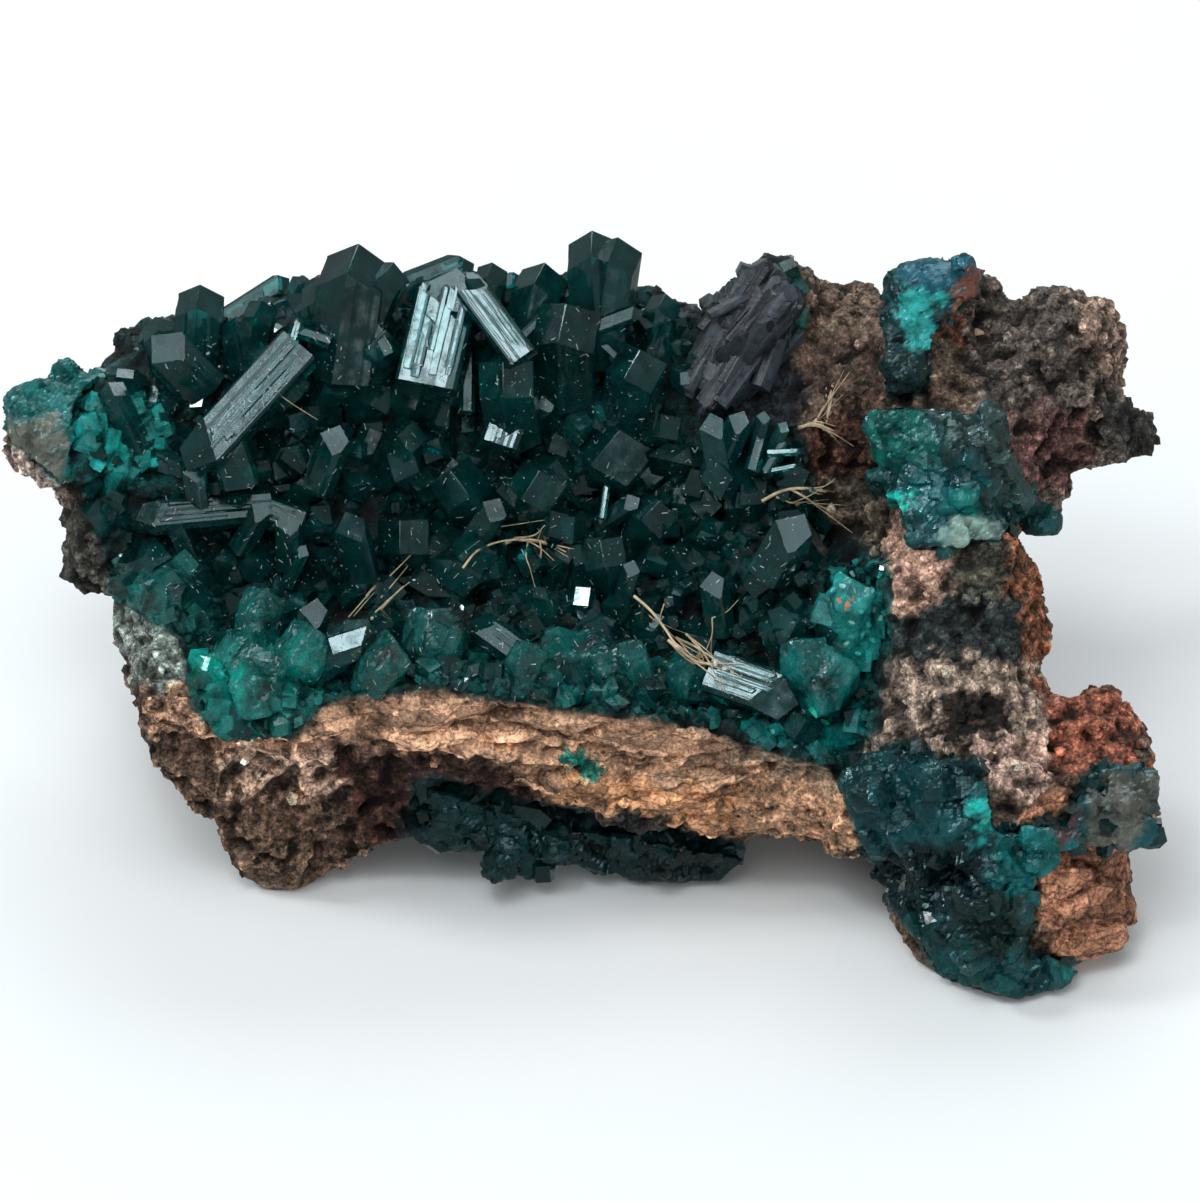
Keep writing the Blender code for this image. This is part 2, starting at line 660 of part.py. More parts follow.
def right_patch(rock_body):
    """The glassy teal crystals below the right lobes."""
    made = crust(rock_body, "right_patch", PATCH_OUTLINE, [], 46, 7, -12)
    dressed(made, finish("glassy_teal", (0.012, 0.15, 0.145), 0.15, 0.4))


def lower_druse(rock_body):
    """The crystals over the lower right lobes."""
    made = crust(rock_body, "lower_druse", LOWER_OUTLINE, [], 54, 8, -9)
    dressed(made, finish("lower_dioptase", (0.01, 0.11, 0.11), 0.2, 0.4))


def underside_druse(rock_body):
    """The dark crystals under the ledge."""
    made = crust(rock_body, "underside_druse", UNDER_LEDGE_OUTLINE, [], 48, 9, -20)
    dressed(made, finish("shaded_dioptase", (0.005, 0.05, 0.05), 0.2, 0.4))


def main():
    for obj in list(bpy.data.objects):
        bpy.data.objects.remove(obj)
    rock_body = matrix()
    main_druse(rock_body)
    left_cap(rock_body)
    knob_patch(rock_body)
    right_patch(rock_body)
    lower_druse(rock_body)
    underside_druse(rock_body)


main()
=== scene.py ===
"""The looks of a dioptase specimen: granular rock, crusts of clear blue-green crystals and the dry
rootlets caught between them.

Places on the specimen are given as they are seen from the front, 40 degrees above the table: a
column and a row of that view, counted in pixels from its upper left. What stands there is set on the
rock by looking along the view's axis.
"""

import json
import math
import random
from typing import NamedTuple

import bmesh
import bpy
import numpy as np
from bpy.props import FloatProperty, FloatVectorProperty, IntProperty, PointerProperty
from mathutils import Matrix, Vector, noise
from mathutils.bvhtree import BVHTree

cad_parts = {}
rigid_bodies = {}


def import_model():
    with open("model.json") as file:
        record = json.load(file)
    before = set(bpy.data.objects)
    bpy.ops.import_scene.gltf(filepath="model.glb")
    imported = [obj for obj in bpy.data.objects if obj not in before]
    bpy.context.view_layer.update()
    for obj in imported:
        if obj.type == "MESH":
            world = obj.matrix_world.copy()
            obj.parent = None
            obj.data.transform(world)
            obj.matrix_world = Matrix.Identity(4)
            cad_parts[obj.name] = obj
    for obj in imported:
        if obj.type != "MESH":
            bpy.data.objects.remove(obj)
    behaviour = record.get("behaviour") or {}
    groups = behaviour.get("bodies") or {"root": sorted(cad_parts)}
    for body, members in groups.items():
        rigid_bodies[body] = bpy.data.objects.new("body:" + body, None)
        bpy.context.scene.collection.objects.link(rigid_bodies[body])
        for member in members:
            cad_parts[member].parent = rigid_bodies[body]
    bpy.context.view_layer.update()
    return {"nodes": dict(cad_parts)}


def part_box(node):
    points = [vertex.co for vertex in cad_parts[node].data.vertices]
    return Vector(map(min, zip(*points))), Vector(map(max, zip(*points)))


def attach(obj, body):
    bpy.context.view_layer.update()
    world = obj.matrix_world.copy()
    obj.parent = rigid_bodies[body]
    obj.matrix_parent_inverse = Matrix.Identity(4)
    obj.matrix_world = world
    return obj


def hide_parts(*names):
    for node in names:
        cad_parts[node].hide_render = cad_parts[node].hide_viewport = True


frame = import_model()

bl_info = {
    "name": "Dioptase Specimen",
    "version": (1, 0, 0),
    "blender": (4, 5, 0),
    "location": "View3D > Sidebar > Dioptase",
    "description": "Rock, crystals and rootlets of a dioptase specimen",
    "category": "Object",
}

MM = 0.001
PIXEL = 93 * MM / 1162
VIEW_ELEVATION = math.radians(40)
LOWEST_ROW = 1016
REST_POINT = Vector((46.5, 36, 0)) * MM
# in millimetres, past the front of the whole specimen
EYE_DISTANCE = 60
CAP_SLOPE = math.radians(51)

RIGHT = Vector((1, 0, 0))
UP = Vector((0, math.sin(VIEW_ELEVATION), math.cos(VIEW_ELEVATION)))
OUT = Vector((0, -math.cos(VIEW_ELEVATION), math.sin(VIEW_ELEVATION)))
VIEW_AXES = Matrix((RIGHT, UP, OUT)).transposed()
BRIGHT = (VIEW_AXES @ Vector((-0.12, 0.28, 0.95))).normalized()


def seen_at(col, row, out):
    """The point seen at this column and row, out millimetres towards the eye."""
    return RIGHT * col * PIXEL + UP * (LOWEST_ROW - row) * PIXEL + OUT * out * MM - REST_POINT


def surface_at(tree, col, row):
    """The place on a surface that is seen at this column and row, and its normal."""
    return tree.ray_cast(seen_at(col, row, EYE_DISTANCE), -OUT)[:2]


def linear(red, green, blue):
    """A linear colour from the usual 0 to 255 values."""
    return tuple(
        c / 12.92 if c <= 0.04045 else ((c + 0.055) / 1.055) ** 2.4
        for c in (red / 255, green / 255, blue / 255)
    )


# Sizes and colours that can be changed


class DIOPTASE_PG_rock(bpy.types.PropertyGroup):
    voxel: FloatProperty(
        name="Detail", description="Size of the rock's mesh cells", default=0.435 * MM, unit="LENGTH",
        precision=5,
    )
    grit: FloatProperty(
        name="Grit", description="Height of the rock's grains", default=0.38 * MM, unit="LENGTH",
        precision=5,
    )
    brown: FloatVectorProperty(
        name="Rock", description="Colour of the plain rock", default=linear(112, 92, 76),
        subtype="COLOR", size=3,
    )


class DIOPTASE_PG_crystals(bpy.types.PropertyGroup):
    refraction: FloatProperty(
        name="Refraction", description="Index of refraction of dioptase", default=1.67,
    )
    depth_colour: FloatVectorProperty(
        name="Depth colour", description="Colour that light keeps on its way through",
        default=(0.0, 0.72, 0.69), subtype="COLOR", size=3,
    )
    density: FloatProperty(
        name="Absorption", description="How strongly a metre of crystal takes up light", default=1150,
    )
    grooves: FloatProperty(
        name="Grooves", description="Depth of the steps along large crystals", default=0.11 * MM,
        unit="LENGTH", precision=5,
    )


class DIOPTASE_PG_stage(bpy.types.PropertyGroup):
    key: FloatProperty(name="Key light", description="Strength of the softbox", default=1.4, unit="POWER")
    floor: FloatVectorProperty(
        name="Floor", description="Colour of the floor", default=(0.97, 0.97, 0.97), subtype="COLOR",
        size=3,
    )


# Meshes


def new_object(name, mesh):
    made = bpy.data.objects.new(name, mesh)
    bpy.context.scene.collection.objects.link(made)
    return made


def mesh_of(bm, name):
    mesh = bpy.data.meshes.new(name)
    bm.to_mesh(mesh)
    bm.free()
    return mesh


def applied(obj):
    """Makes the object's modifiers part of its mesh."""
    graph = bpy.context.evaluated_depsgraph_get()
    mesh = bpy.data.meshes.new_from_object(obj.evaluated_get(graph))
    obj.modifiers.clear()
    obj.data = mesh


def merged_copy(node):
    """A copy of a solid's mesh with its loose triangles sewn together."""
    bm = bmesh.new()
    bm.from_mesh(frame["nodes"][node].data)
    bmesh.ops.remove_doubles(bm, verts=bm.verts, dist=1e-6)
    return bm


def tree_of(node):
    bm = merged_copy(node)
    tree = BVHTree.FromBMesh(bm)
    bm.free()
    return tree


def positions(mesh):
    points = np.empty(len(mesh.vertices) * 3, np.float32)
    mesh.vertices.foreach_get("co", points)
    return points.reshape(-1, 3).astype(np.float64)


def colour_points(mesh, name, colours, fourth=1):
    """Stores one linear colour for each vertex under this name, and a fourth value."""
    layer = mesh.color_attributes.new(name, "FLOAT_COLOR", "POINT")
    full = np.ones((len(colours), 4), np.float32)
    full[:, :3] = colours
    full[:, 3] = fourth
    layer.data.foreach_set("color", full.ravel())


def push(mesh, points, normals, heights):
    """Moves each vertex along its normal."""
    moved = points + normals * heights[:, None]
    mesh.vertices.foreach_set("co", moved.astype(np.float32).ravel())


def in_view(points):
    """Columns and rows at which points are seen."""
    whole = points + np.array(REST_POINT)
    return whole @ np.array(RIGHT) / PIXEL, LOWEST_ROW - whole @ np.array(UP) / PIXEL


def soft_inside(cols, rows, outline, soft):
    """1 inside the outline, 0 outside it, and a soft change of that many pixels between."""
    inside = np.zeros(len(cols), bool)
    nearest = np.full(len(cols), 1e9)
    for (ax, ay), (bx, by) in zip(outline, outline[1:] + outline[:1]):
        crosses = (ay > rows) != (by > rows)
        with np.errstate(divide="ignore", invalid="ignore"):
            at = (bx - ax) * (rows - ay) / (by - ay) + ax
        inside ^= crosses & (cols < at)
        along = ((cols - ax) * (bx - ax) + (rows - ay) * (by - ay)) / ((bx - ax) ** 2 + (by - ay) ** 2)
        along = np.clip(along, 0, 1)
        away = np.hypot(cols - ax - along * (bx - ax), rows - ay - along * (by - ay))
        nearest = np.minimum(nearest, away)
    return np.clip(0.5 + np.where(inside, nearest, -nearest) / soft, 0, 1)


# Materials


class Nodes:
    """A short way to build a material's nodes."""

    def __init__(self, name):
        self.material = bpy.data.materials.new(name)
        self.material.use_nodes = True
        self.tree = self.material.node_tree
        self.shader = self.tree.nodes["Principled BSDF"]
        self.place = self.add("ShaderNodeTexCoord").outputs["Object"]

    def add(self, kind, **values):
        node = self.tree.nodes.new(kind)
        for key, value in values.items():
            setattr(node, key, value)
        return node

    def link(self, out, into):
        self.tree.links.new(out, into)

    def set(self, **values):
        for key, value in values.items():
            self.shader.inputs[key.replace("_", " ")].default_value = value

    def noise(self, scale, detail=4.0, roughness=0.6, distortion=0.0):
        node = self.add("ShaderNodeTexNoise")
        node.inputs["Scale"].default_value = scale
        node.inputs["Detail"].default_value = detail
        node.inputs["Roughness"].default_value = roughness
        node.inputs["Distortion"].default_value = distortion
        self.link(self.place, node.inputs["Vector"])
        return node.outputs["Fac"]

    def cells(self, scale, feature="F1"):
        node = self.add("ShaderNodeTexVoronoi", feature=feature)
        node.inputs["Scale"].default_value = scale
        self.link(self.place, node.inputs["Vector"])
        return node.outputs["Distance"]

    def beds(self, scale):
        """Flat ragged cells as in bedded rock: a value that is even over each cell, and the distance
        to the cell's edge."""
        stray = self.mix(self.place, self.rough_place(900, 0.0012), 1.0, "ADD")
        place = self.add("ShaderNodeMapping")
        place.inputs["Scale"].default_value = (0.45, 1, 1.7)
        self.link(stray, place.inputs["Vector"])
        found = []
        for feature, output in (("F1", "Color"), ("DISTANCE_TO_EDGE", "Distance")):
            node = self.add("ShaderNodeTexVoronoi", feature=feature)
            node.inputs["Scale"].default_value = scale
            self.link(place.outputs["Vector"], node.inputs["Vector"])
            found.append(node.outputs[output])
        return found

    def rough_place(self, scale, reach):
        """A small way to stray by, in metres, that changes from place to place."""
        noise_node = self.add("ShaderNodeTexNoise")
        noise_node.inputs["Scale"].default_value = scale
        noise_node.inputs["Detail"].default_value = 3
        self.link(self.place, noise_node.inputs["Vector"])
        return self.mix(noise_node.outputs["Color"], (reach, reach, reach), 1.0, "MULTIPLY")

    def ramp(self, value, stops):
        node = self.add("ShaderNodeValToRGB")
        elements = node.color_ramp.elements
        while len(elements) > len(stops):
            elements.remove(elements[-1])
        while len(elements) < len(stops):
            elements.new(1.0)
        for element, (position, colour) in zip(elements, stops):
            element.position = position
            element.color = (*colour, 1) if len(colour) == 3 else colour
        self.link(value, node.inputs["Fac"])
        return node.outputs["Color"]

    def grey(self, value, low, high, start=0.3, end=0.7):
        return self.ramp(value, [(start, (low,) * 3), (end, (high,) * 3)])

    def mix(self, first, second, factor, blend="MIX"):
        node = self.add("ShaderNodeMix", data_type="RGBA", blend_type=blend)
        if isinstance(factor, (int, float)):
            node.inputs["Factor"].default_value = factor
        else:
            self.link(factor, node.inputs["Factor"])
        for value, socket in ((first, node.inputs["A"]), (second, node.inputs["B"])):
            if isinstance(value, tuple):
                socket.default_value = (*value, 1)
            else:
                self.link(value, socket)
        return node.outputs["Result"]

    def attribute(self, name):
        return self.add("ShaderNodeAttribute", attribute_name=name).outputs["Color"]

    def bump(self, height, strength, distance, below=None):
        node = self.add("ShaderNodeBump")
        node.inputs["Strength"].default_value = strength
        node.inputs["Distance"].default_value = distance
        self.link(height, node.inputs["Height"])
        if below is not None:
            self.link(below, node.inputs["Normal"])
        return node.outputs["Normal"]


def rock_material(name):
    """Granular rock: the colour of its zone, broken into grains, with painted shade in its pits and cracks,
    painted light on its peaks and painted glints.
    """
    n = Nodes(name)
    tone = n.add("ShaderNodeAttribute", attribute_name="tone")
    bare = tone.outputs["Alpha"]
    rough = n.noise(1150, 6, 0.78)
    fine = n.noise(3400, 4, 0.75)
    broad = n.grey(n.noise(330, 5, 0.7), 0.65, 1.5, 0.32, 0.68)
    colour = n.mix(tone.outputs["Color"], broad, 1.0, "MULTIPLY")
    # painted shade and light: the noise that bumps the surface also darkens its pits and lightens its peaks
    painted_relief_shade = n.ramp(
        rough, [(0.38, (0.05,) * 3), (0.47, (0.6,) * 3), (0.55, (1.15,) * 3), (0.66, (2.8,) * 3)]
    )
    force = n.ramp(bare, [(0.0, (0.6,) * 3), (0.5, (0.32,) * 3), (1.0, (1.0,) * 3)])
    colour = n.mix(colour, painted_relief_shade, force, "MULTIPLY")
    # painted shade and light of the small grains: the fine bump's noise also darkens and lightens the colour
    colour = n.mix(colour, n.grey(fine, 0.2, 2.0, 0.34, 0.68), 0.85, "MULTIPLY")
    broken = n.grey(bare, 0, 1, 0.2, 0.45)
    broken = n.mix(broken, (0, 0, 0), n.grey(bare, 0, 1, 0.55, 0.8))
    for size, low, high in ((190, 0.8, 1.6), (520, 0.8, 1.5)):
        plates, cracks = n.beds(size)
        shade = n.grey(plates, low, high, 0.3, 0.7)
        # painted shade in the cracks: the plates' edges are darkened
        plates = n.mix(shade, n.grey(cracks, 0.35, 1.1, 0, 0.06), 1.0, "MULTIPLY")
        colour = n.mix(colour, plates, broken, "MULTIPLY")
    # painted glints: pale highlight specks mixed into the colour of bare rock
    glints = n.mix((0, 0, 0), n.grey(n.noise(2300, 3, 0.8), 0, 0.55, 0.69, 0.74), bare)
    colour = n.mix(colour, linear(206, 186, 168), glints)
    n.link(colour, n.shader.inputs["Base Color"])
    n.link(n.grey(n.noise(900), 0.5, 0.95), n.shader.inputs["Roughness"])
    coarse = n.bump(rough, 1.0, 0.4 * MM)
    n.link(n.bump(fine, 1.0, 0.1 * MM, coarse), n.shader.inputs["Normal"])
    n.set(Specular_IOR_Level=0.45)
    return n.material


def depth_of_colour(n, props, density):
    volume = n.add("ShaderNodeVolumeAbsorption")
    volume.inputs["Color"].default_value = (*props.depth_colour, 1)
    volume.inputs["Density"].default_value = density
    n.link(volume.outputs["Volume"], n.tree.nodes["Material Output"].inputs["Volume"])


def clear_dioptase(props):
    """Clear dioptase: its colour deepens with the way that light takes through it."""
    n = Nodes("clear_dioptase")
    cloud = n.grey(n.noise(420, 4, 0.6), 0.35, 1.3)
    n.link(n.mix(n.attribute("tint"), cloud, 1.0, "MULTIPLY"), n.shader.inputs["Base Color"])
    n.link(n.grey(n.noise(760, 4, 0.65), 0.04, 0.34, 0.42, 0.72), n.shader.inputs["Roughness"])
    n.set(Transmission_Weight=0.9, IOR=props.refraction, Specular_IOR_Level=0.43)
    n.set(Specular_Tint=(0.8, 0.97, 1, 1))
    waves = n.bump(n.noise(700, 2, 0.5), 0.08, 0.1 * MM)
    n.link(n.bump(n.noise(5200, 3, 0.7), 0.08, 0.03 * MM, waves), n.shader.inputs["Normal"])
    depth_of_colour(n, props, props.density)
    return n.material


def milky_dioptase(props):
    """Milky dioptase, full of fine cracks that send the light back."""
    n = Nodes("milky_dioptase")
    cloud = n.grey(n.noise(430, 5, 0.7), 0.2, 1.9, 0.34, 0.68)
    colour = n.mix(n.attribute("tint"), cloud, 1.0, "MULTIPLY")
    frost = n.grey(n.noise(1700, 5, 0.8, 1.4), 0, 0.7, 0.62, 0.72)
    n.link(n.mix(colour, linear(150, 204, 196), frost), n.shader.inputs["Base Color"])
    n.link(n.grey(n.noise(1300, 4, 0.7), 0.1, 0.5, 0.4, 0.7), n.shader.inputs["Roughness"])
    n.set(Transmission_Weight=0.62, IOR=props.refraction, Specular_IOR_Level=0.35)
    n.link(n.bump(n.noise(1500, 3, 0.6), 0.1, 0.12 * MM), n.shader.inputs["Normal"])
    depth_of_colour(n, props, props.density * 0.5)
    return n.material


def crust_material(crust, props):
    """A glassy crust: cloudy dioptase with dull pits, pale scratches and specks."""
    n = Nodes(crust.piece)
    colour = n.mix(n.attribute("tint"), n.grey(n.noise(420, 5, 0.68), 0.3, 1.7), 1.0, "MULTIPLY")
    colour = n.mix(colour, n.grey(n.cells(1500), 0.5, 1.2, 0.05, 0.5), 0.4, "MULTIPLY")
    streaks = n.grey(n.noise(1700, 5, 0.75, 1.5), 0, 0.5, 0.66, 0.72)
    colour = n.mix(colour, linear(112, 178, 168), streaks)
    n.link(colour, n.shader.inputs["Base Color"])
    n.link(n.grey(n.noise(1100, 4, 0.7), 0.06, 0.45, 0.38, 0.66), n.shader.inputs["Roughness"])
    n.set(Transmission_Weight=crust.clear, IOR=props.refraction, Specular_IOR_Level=0.3)
    n.set(Specular_Tint=(0.6, 0.95, 1, 1))
    waves = n.bump(n.noise(1300, 4, 0.65), 0.4, 0.14 * MM)
    n.link(n.bump(n.noise(5600, 3, 0.7), 0.4, 0.04 * MM, waves), n.shader.inputs["Normal"])
    depth_of_colour(n, props, props.density * 0.6)
    return n.material


def slab_material():
    """Dark splintery stone with a dull shine along its blades, from its roughness and from painted sheen:
    pale streaks in its colour.
    """
    n = Nodes("splintery_slab")
    colour = n.mix(n.attribute("tint"), n.grey(n.noise(900, 5, 0.7), 0.4, 1.6), 1.0, "MULTIPLY")
    # painted sheen: pale streaks mixed into the colour
    colour = n.mix(colour, linear(150, 156, 158), n.grey(n.noise(1900, 4, 0.75, 1.0), 0, 0.5, 0.66, 0.74))
    n.link(colour, n.shader.inputs["Base Color"])
    n.link(n.grey(n.noise(1500, 4, 0.7), 0.14, 0.55), n.shader.inputs["Roughness"])
    n.link(n.bump(n.noise(1900, 5, 0.7), 0.8, 0.12 * MM), n.shader.inputs["Normal"])
    return n.material


def dust_material():
    """Pale dust and lint."""
    n = Nodes("pale_dust")
    colour = n.mix(n.attribute("tone"), n.grey(n.noise(2000), 0.4, 1.2), 1.0, "MULTIPLY")
    n.link(colour, n.shader.inputs["Base Color"])
    n.set(Roughness=0.6)
    return n.material


def straw_material():
    """Dry rootlets: pale straw with darker lengths."""
    n = Nodes("rootlet_straw")
    straw = n.ramp(n.noise(900, 4, 0.6), [(0.3, linear(132, 106, 80)), (0.6, linear(226, 204, 168))])
    n.link(straw, n.shader.inputs["Base Color"])
    n.link(n.bump(n.noise(5000, 3), 0.5, 0.05 * MM), n.shader.inputs["Normal"])
    n.set(Roughness=0.75)
    return n.material


# The rock


class Zone(NamedTuple):
    """A part of the rock's front with its own colour: an outline of columns and rows, the width of its
    soft edge, and how blocky its broken surface is."""

    outline: list
    colour: tuple
    soft: float = 10
    blocks: float = 0.0


ZONES = [
    Zone([(60, 300), (180, 300), (180, 420), (70, 420)], linear(30, 54, 54)),
    Zone([(180, 250), (700, 250), (700, 330), (180, 330)], linear(30, 44, 42)),
    # the left foot
    Zone([(130, 640), (420, 700), (440, 850), (330, 900), (220, 860), (130, 740)], linear(118, 92, 74)),
    Zone([(215, 745), (330, 740), (400, 765), (380, 800), (290, 800), (225, 790)], linear(214, 176, 152), 8),
    Zone([(330, 745), (400, 760), (470, 830), (400, 860), (350, 830)], linear(78, 48, 38), 8),
    Zone([(150, 670), (215, 670), (225, 745), (150, 730)], linear(196, 152, 122), 6),
    Zone([(112, 580), (205, 580), (216, 660), (190, 682), (140, 690), (112, 640)], linear(150, 160, 150), 6),
    # the ledge, and below it the rock in its shade, darkened with painted shadow
    Zone(
        [(205, 735), (300, 728), (324, 698), (396, 695), (432, 674), (474, 701), (560, 706), (700, 722),
         (850, 765), (862, 850), (745, 856), (640, 812), (558, 812), (528, 779), (486, 755),
         (408, 755), (387, 740), (300, 750), (225, 748)],
        linear(198, 153, 122), 5, 1.0,
    ),
    Zone([(560, 770), (745, 800), (745, 850), (640, 812), (560, 806)], linear(222, 162, 118), 6, 1.0),
    Zone([(745, 760), (862, 780), (862, 850), (770, 856)], linear(204, 156, 122), 6, 0.6),
    Zone([(567, 752), (585, 750), (597, 764), (590, 778), (574, 776)], linear(16, 150, 132), 4),
    Zone([(700, 722), (850, 765), (850, 792), (700, 744)], linear(150, 126, 104), 8, 0.6),
    # painted shadow: dark brown below the ledge's lower edge
    Zone([(387, 742), (408, 757), (486, 757), (528, 782), (558, 815), (560, 835), (400, 838)],
         linear(66, 44, 36), 5, 0.5),
    # painted shadow of the ledge on the rock below it
    Zone([(400, 815), (640, 815), (745, 856), (860, 850), (700, 900), (400, 870)], linear(40, 46, 44)),
    # the slab and the valley beside it
    Zone([(690, 300), (720, 270), (790, 250), (820, 300), (812, 430), (690, 430)],
         linear(46, 52, 57), 5, 0.4),
    Zone([(800, 290), (885, 280), (880, 420), (800, 430)], linear(124, 100, 86), 6, 0.5),
    Zone([(810, 302), (868, 290), (866, 330), (815, 340)], linear(140, 118, 100), 6, 0.4),
    Zone([(791, 425), (866, 418), (872, 482), (800, 486)], linear(112, 76, 62), 6),
    Zone([(808, 480), (900, 470), (905, 545), (830, 545)], linear(134, 118, 102), 6),
    # the upper right lobes
    Zone([(925, 285), (995, 265), (998, 330), (960, 345), (925, 330)], linear(120, 74, 58), 6),
    Zone([(960, 275), (1125, 270), (1165, 440), (1140, 480), (1040, 535), (980, 430)],
         linear(108, 96, 86), 6),
    Zone([(1080, 285), (1125, 300), (1130, 370), (1085, 385)], linear(150, 124, 108), 8),
    Zone([(1030, 405), (1098, 410), (1090, 480), (1000, 500), (1010, 430)], linear(116, 82, 76), 8),
    Zone([(1100, 390), (1165, 400), (1160, 470), (1110, 450)], linear(60, 58, 52), 6),
    # the right column
    Zone([(885, 522), (950, 522), (958, 600), (925, 632), (880, 620)], linear(214, 168, 146), 6, 0.5),
    Zone([(950, 537), (1008, 535), (1010, 600), (950, 596)], linear(84, 80, 68), 6),
    Zone([(1008, 520), (1045, 520), (1060, 700), (1030, 700), (1012, 620)], linear(160, 100, 68), 5),
    Zone([(880, 620), (970, 590), (1025, 600), (1020, 670), (890, 668)], linear(52, 60, 58), 6),
    Zone([(862, 655), (1035, 655), (1050, 770), (862, 770)], linear(182, 158, 140), 6, 0.3),
    Zone([(930, 690), (1000, 690), (1000, 740), (935, 745)], linear(38, 30, 26), 6),
    Zone([(1040, 680), (1135, 680), (1150, 780), (1050, 775)], linear(176, 106, 82), 6),
    Zone([(970, 735), (1045, 735), (1055, 792), (975, 790)], linear(214, 176, 158), 6, 0.3),
    Zone([(1030, 790), (1165, 790), (1140, 960), (1080, 985), (1028, 930)], linear(164, 114, 88), 6, 1.0),
    # the left end
    Zone([(0, 430), (55, 420), (70, 500), (10, 500)], linear(168, 148, 136), 6),
    Zone([(50, 500), (140, 500), (150, 600), (50, 610)], linear(72, 70, 62), 6),
]
# the rock this near a crust of crystals takes the crust's colour
FLOORS = {
    "main_druse": (1.1 * MM, linear(16, 46, 46)),
    "left_cap": (0.5 * MM, linear(18, 92, 92)),
    "knob_patch": (0.3 * MM, linear(40, 62, 62)),
    "right_patch": (0.3 * MM, linear(40, 80, 78)),
    "lower_druse": (0.5 * MM, linear(26, 74, 72)),
    "underside_druse": (1.2 * MM, linear(16, 44, 46)),
}


def softened(obj, voxel, soften):
    """Gives an object fine cells and softens its facets."""
    remesh = obj.modifiers.new("Cells", "REMESH")
    remesh.mode = "VOXEL"
    remesh.voxel_size = voxel
    smooth = obj.modifiers.new("Soften", "SMOOTH")
    smooth.factor, smooth.iterations = 0.5, soften
    applied(obj)
    obj.data.materials.clear()


def fine_copy(node, name, voxel, soften):
    """A copy of a solid with fine cells, its facets softened."""
    obj = new_object(name, mesh_of(merged_copy(node), name))
    softened(obj, voxel, soften)
    return obj


def normals_of(mesh):
    normals = np.empty(len(mesh.vertices) * 3, np.float32)
    mesh.vertices.foreach_get("normal", normals)
    return normals.reshape(-1, 3)


PATCH_SIZE = 6 * MM
STRAY_SIZE = 2.0 * MM
STRAY_COLUMNS = 16


def zoned(points, normals, zones, colour):
    """The colours of points in their zones, and how blocky the rock is there."""
    wobble = np.array([
        (noise.fractal(Vector(p) / STRAY_SIZE, 0.5, 2.3, 4),
         noise.fractal(Vector(p) / STRAY_SIZE + Vector((31, 7, 3)), 0.5, 2.3, 4))
        for p in points
    ]) * STRAY_COLUMNS
    cols, rows = in_view(points)
    cols, rows = cols + wobble[:, 0], rows + wobble[:, 1]
    front = np.clip((normals @ np.array(OUT) + 0.25) / 0.3, 0, 1)
    colours = np.tile(np.array(colour, np.float64), (len(points), 1))
    blocks = np.full(len(points), 0.25)
    for zone in zones:
        share = soft_inside(cols, rows, zone.outline, zone.soft) * front
        colours += (np.array(zone.colour) - colours) * share[:, None]
        blocks += (zone.blocks - blocks) * share
    return colours, blocks


def blocky(point, size):
    """A height that is even over each broken block of the rock and steps between blocks."""
    near = noise.voronoi(point / size)
    step = noise.cell(near[1][0] * 7.3)
    crack = min(1.0, (near[0][1] - near[0][0]) * 5)
    return step * 0.5 - (1 - crack) * 0.8


LUMP_SIZE, RIDGE_SIZE, PIT_SIZE, GRAIN_SIZE = 3.4 * MM, 1.9 * MM, 1.5 * MM, 0.75 * MM
BLOCK_SIZE, CHIP_SIZE, BLOCK_HEIGHT = 4.6 * MM, 1.5 * MM, 1.1 * MM


def rock_heights(points, blocks, grit):
    """How far each point of the rock moves out or in, and its painted shade: darker in pits, cracks and low
    places, lighter on ridges and raised blocks.
    """
    heights, shades = np.zeros(len(points)), np.zeros(len(points))
    for i, (co, share) in enumerate(zip(points, blocks)):
        p = Vector(co)
        lump = noise.fractal(p / LUMP_SIZE, 1.0, 2.1, 3)
        ridge = noise.ridged_multi_fractal(p / RIDGE_SIZE, 0.7, 2.3, 4, 1.0, 2.0) - 1.3
        grain = noise.noise(p / GRAIN_SIZE)
        pit = min(0.0, noise.noise(p / PIT_SIZE + Vector((9, 4, 2))) + 0.12)
        heights[i] = lump * 0.5 * MM + grit * (ridge + grain * 0.9 + pit * 4.5)
        # painted shade that follows the relief: pits darker, ridges and grains lighter
        shades[i] = ridge * 0.45 + grain * 0.5 + lump * 0.1 + pit * 2.4
        if share > 0.05:
            bed = Vector((p.x * 0.45, p.y, p.z * 1.5))
            step = blocky(bed, BLOCK_SIZE) * 0.8 + blocky(bed, CHIP_SIZE) * 0.2
            heights[i] = heights[i] * (1 - 0.75 * share) + share * step * BLOCK_HEIGHT
            # painted shade on broken faces: raised blocks lighter, cracks darker
            shades[i] = shades[i] * (1 - 0.8 * share) + share * step * 0.36
    return heights, shades


def near_node(points, node, reach):
    """1 on the points that lie within reach of the node's solid, fading to 0 a little farther."""
    tree = tree_of(node)
    low, high = (np.array(c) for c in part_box(node))
    found = np.zeros(len(points))
    near = np.all((points > low - 2 * reach) & (points < high + 2 * reach), axis=1)
    for i in np.flatnonzero(near):
        distance = tree.find_nearest(Vector(points[i]), 2 * reach)[3]
        if distance is not None:
            ragged = 0.6 * noise.noise(Vector(points[i]) / (0.9 * MM))
            found[i] = np.clip((1.5 + ragged - distance / reach) * 2, 0, 1)
    return found


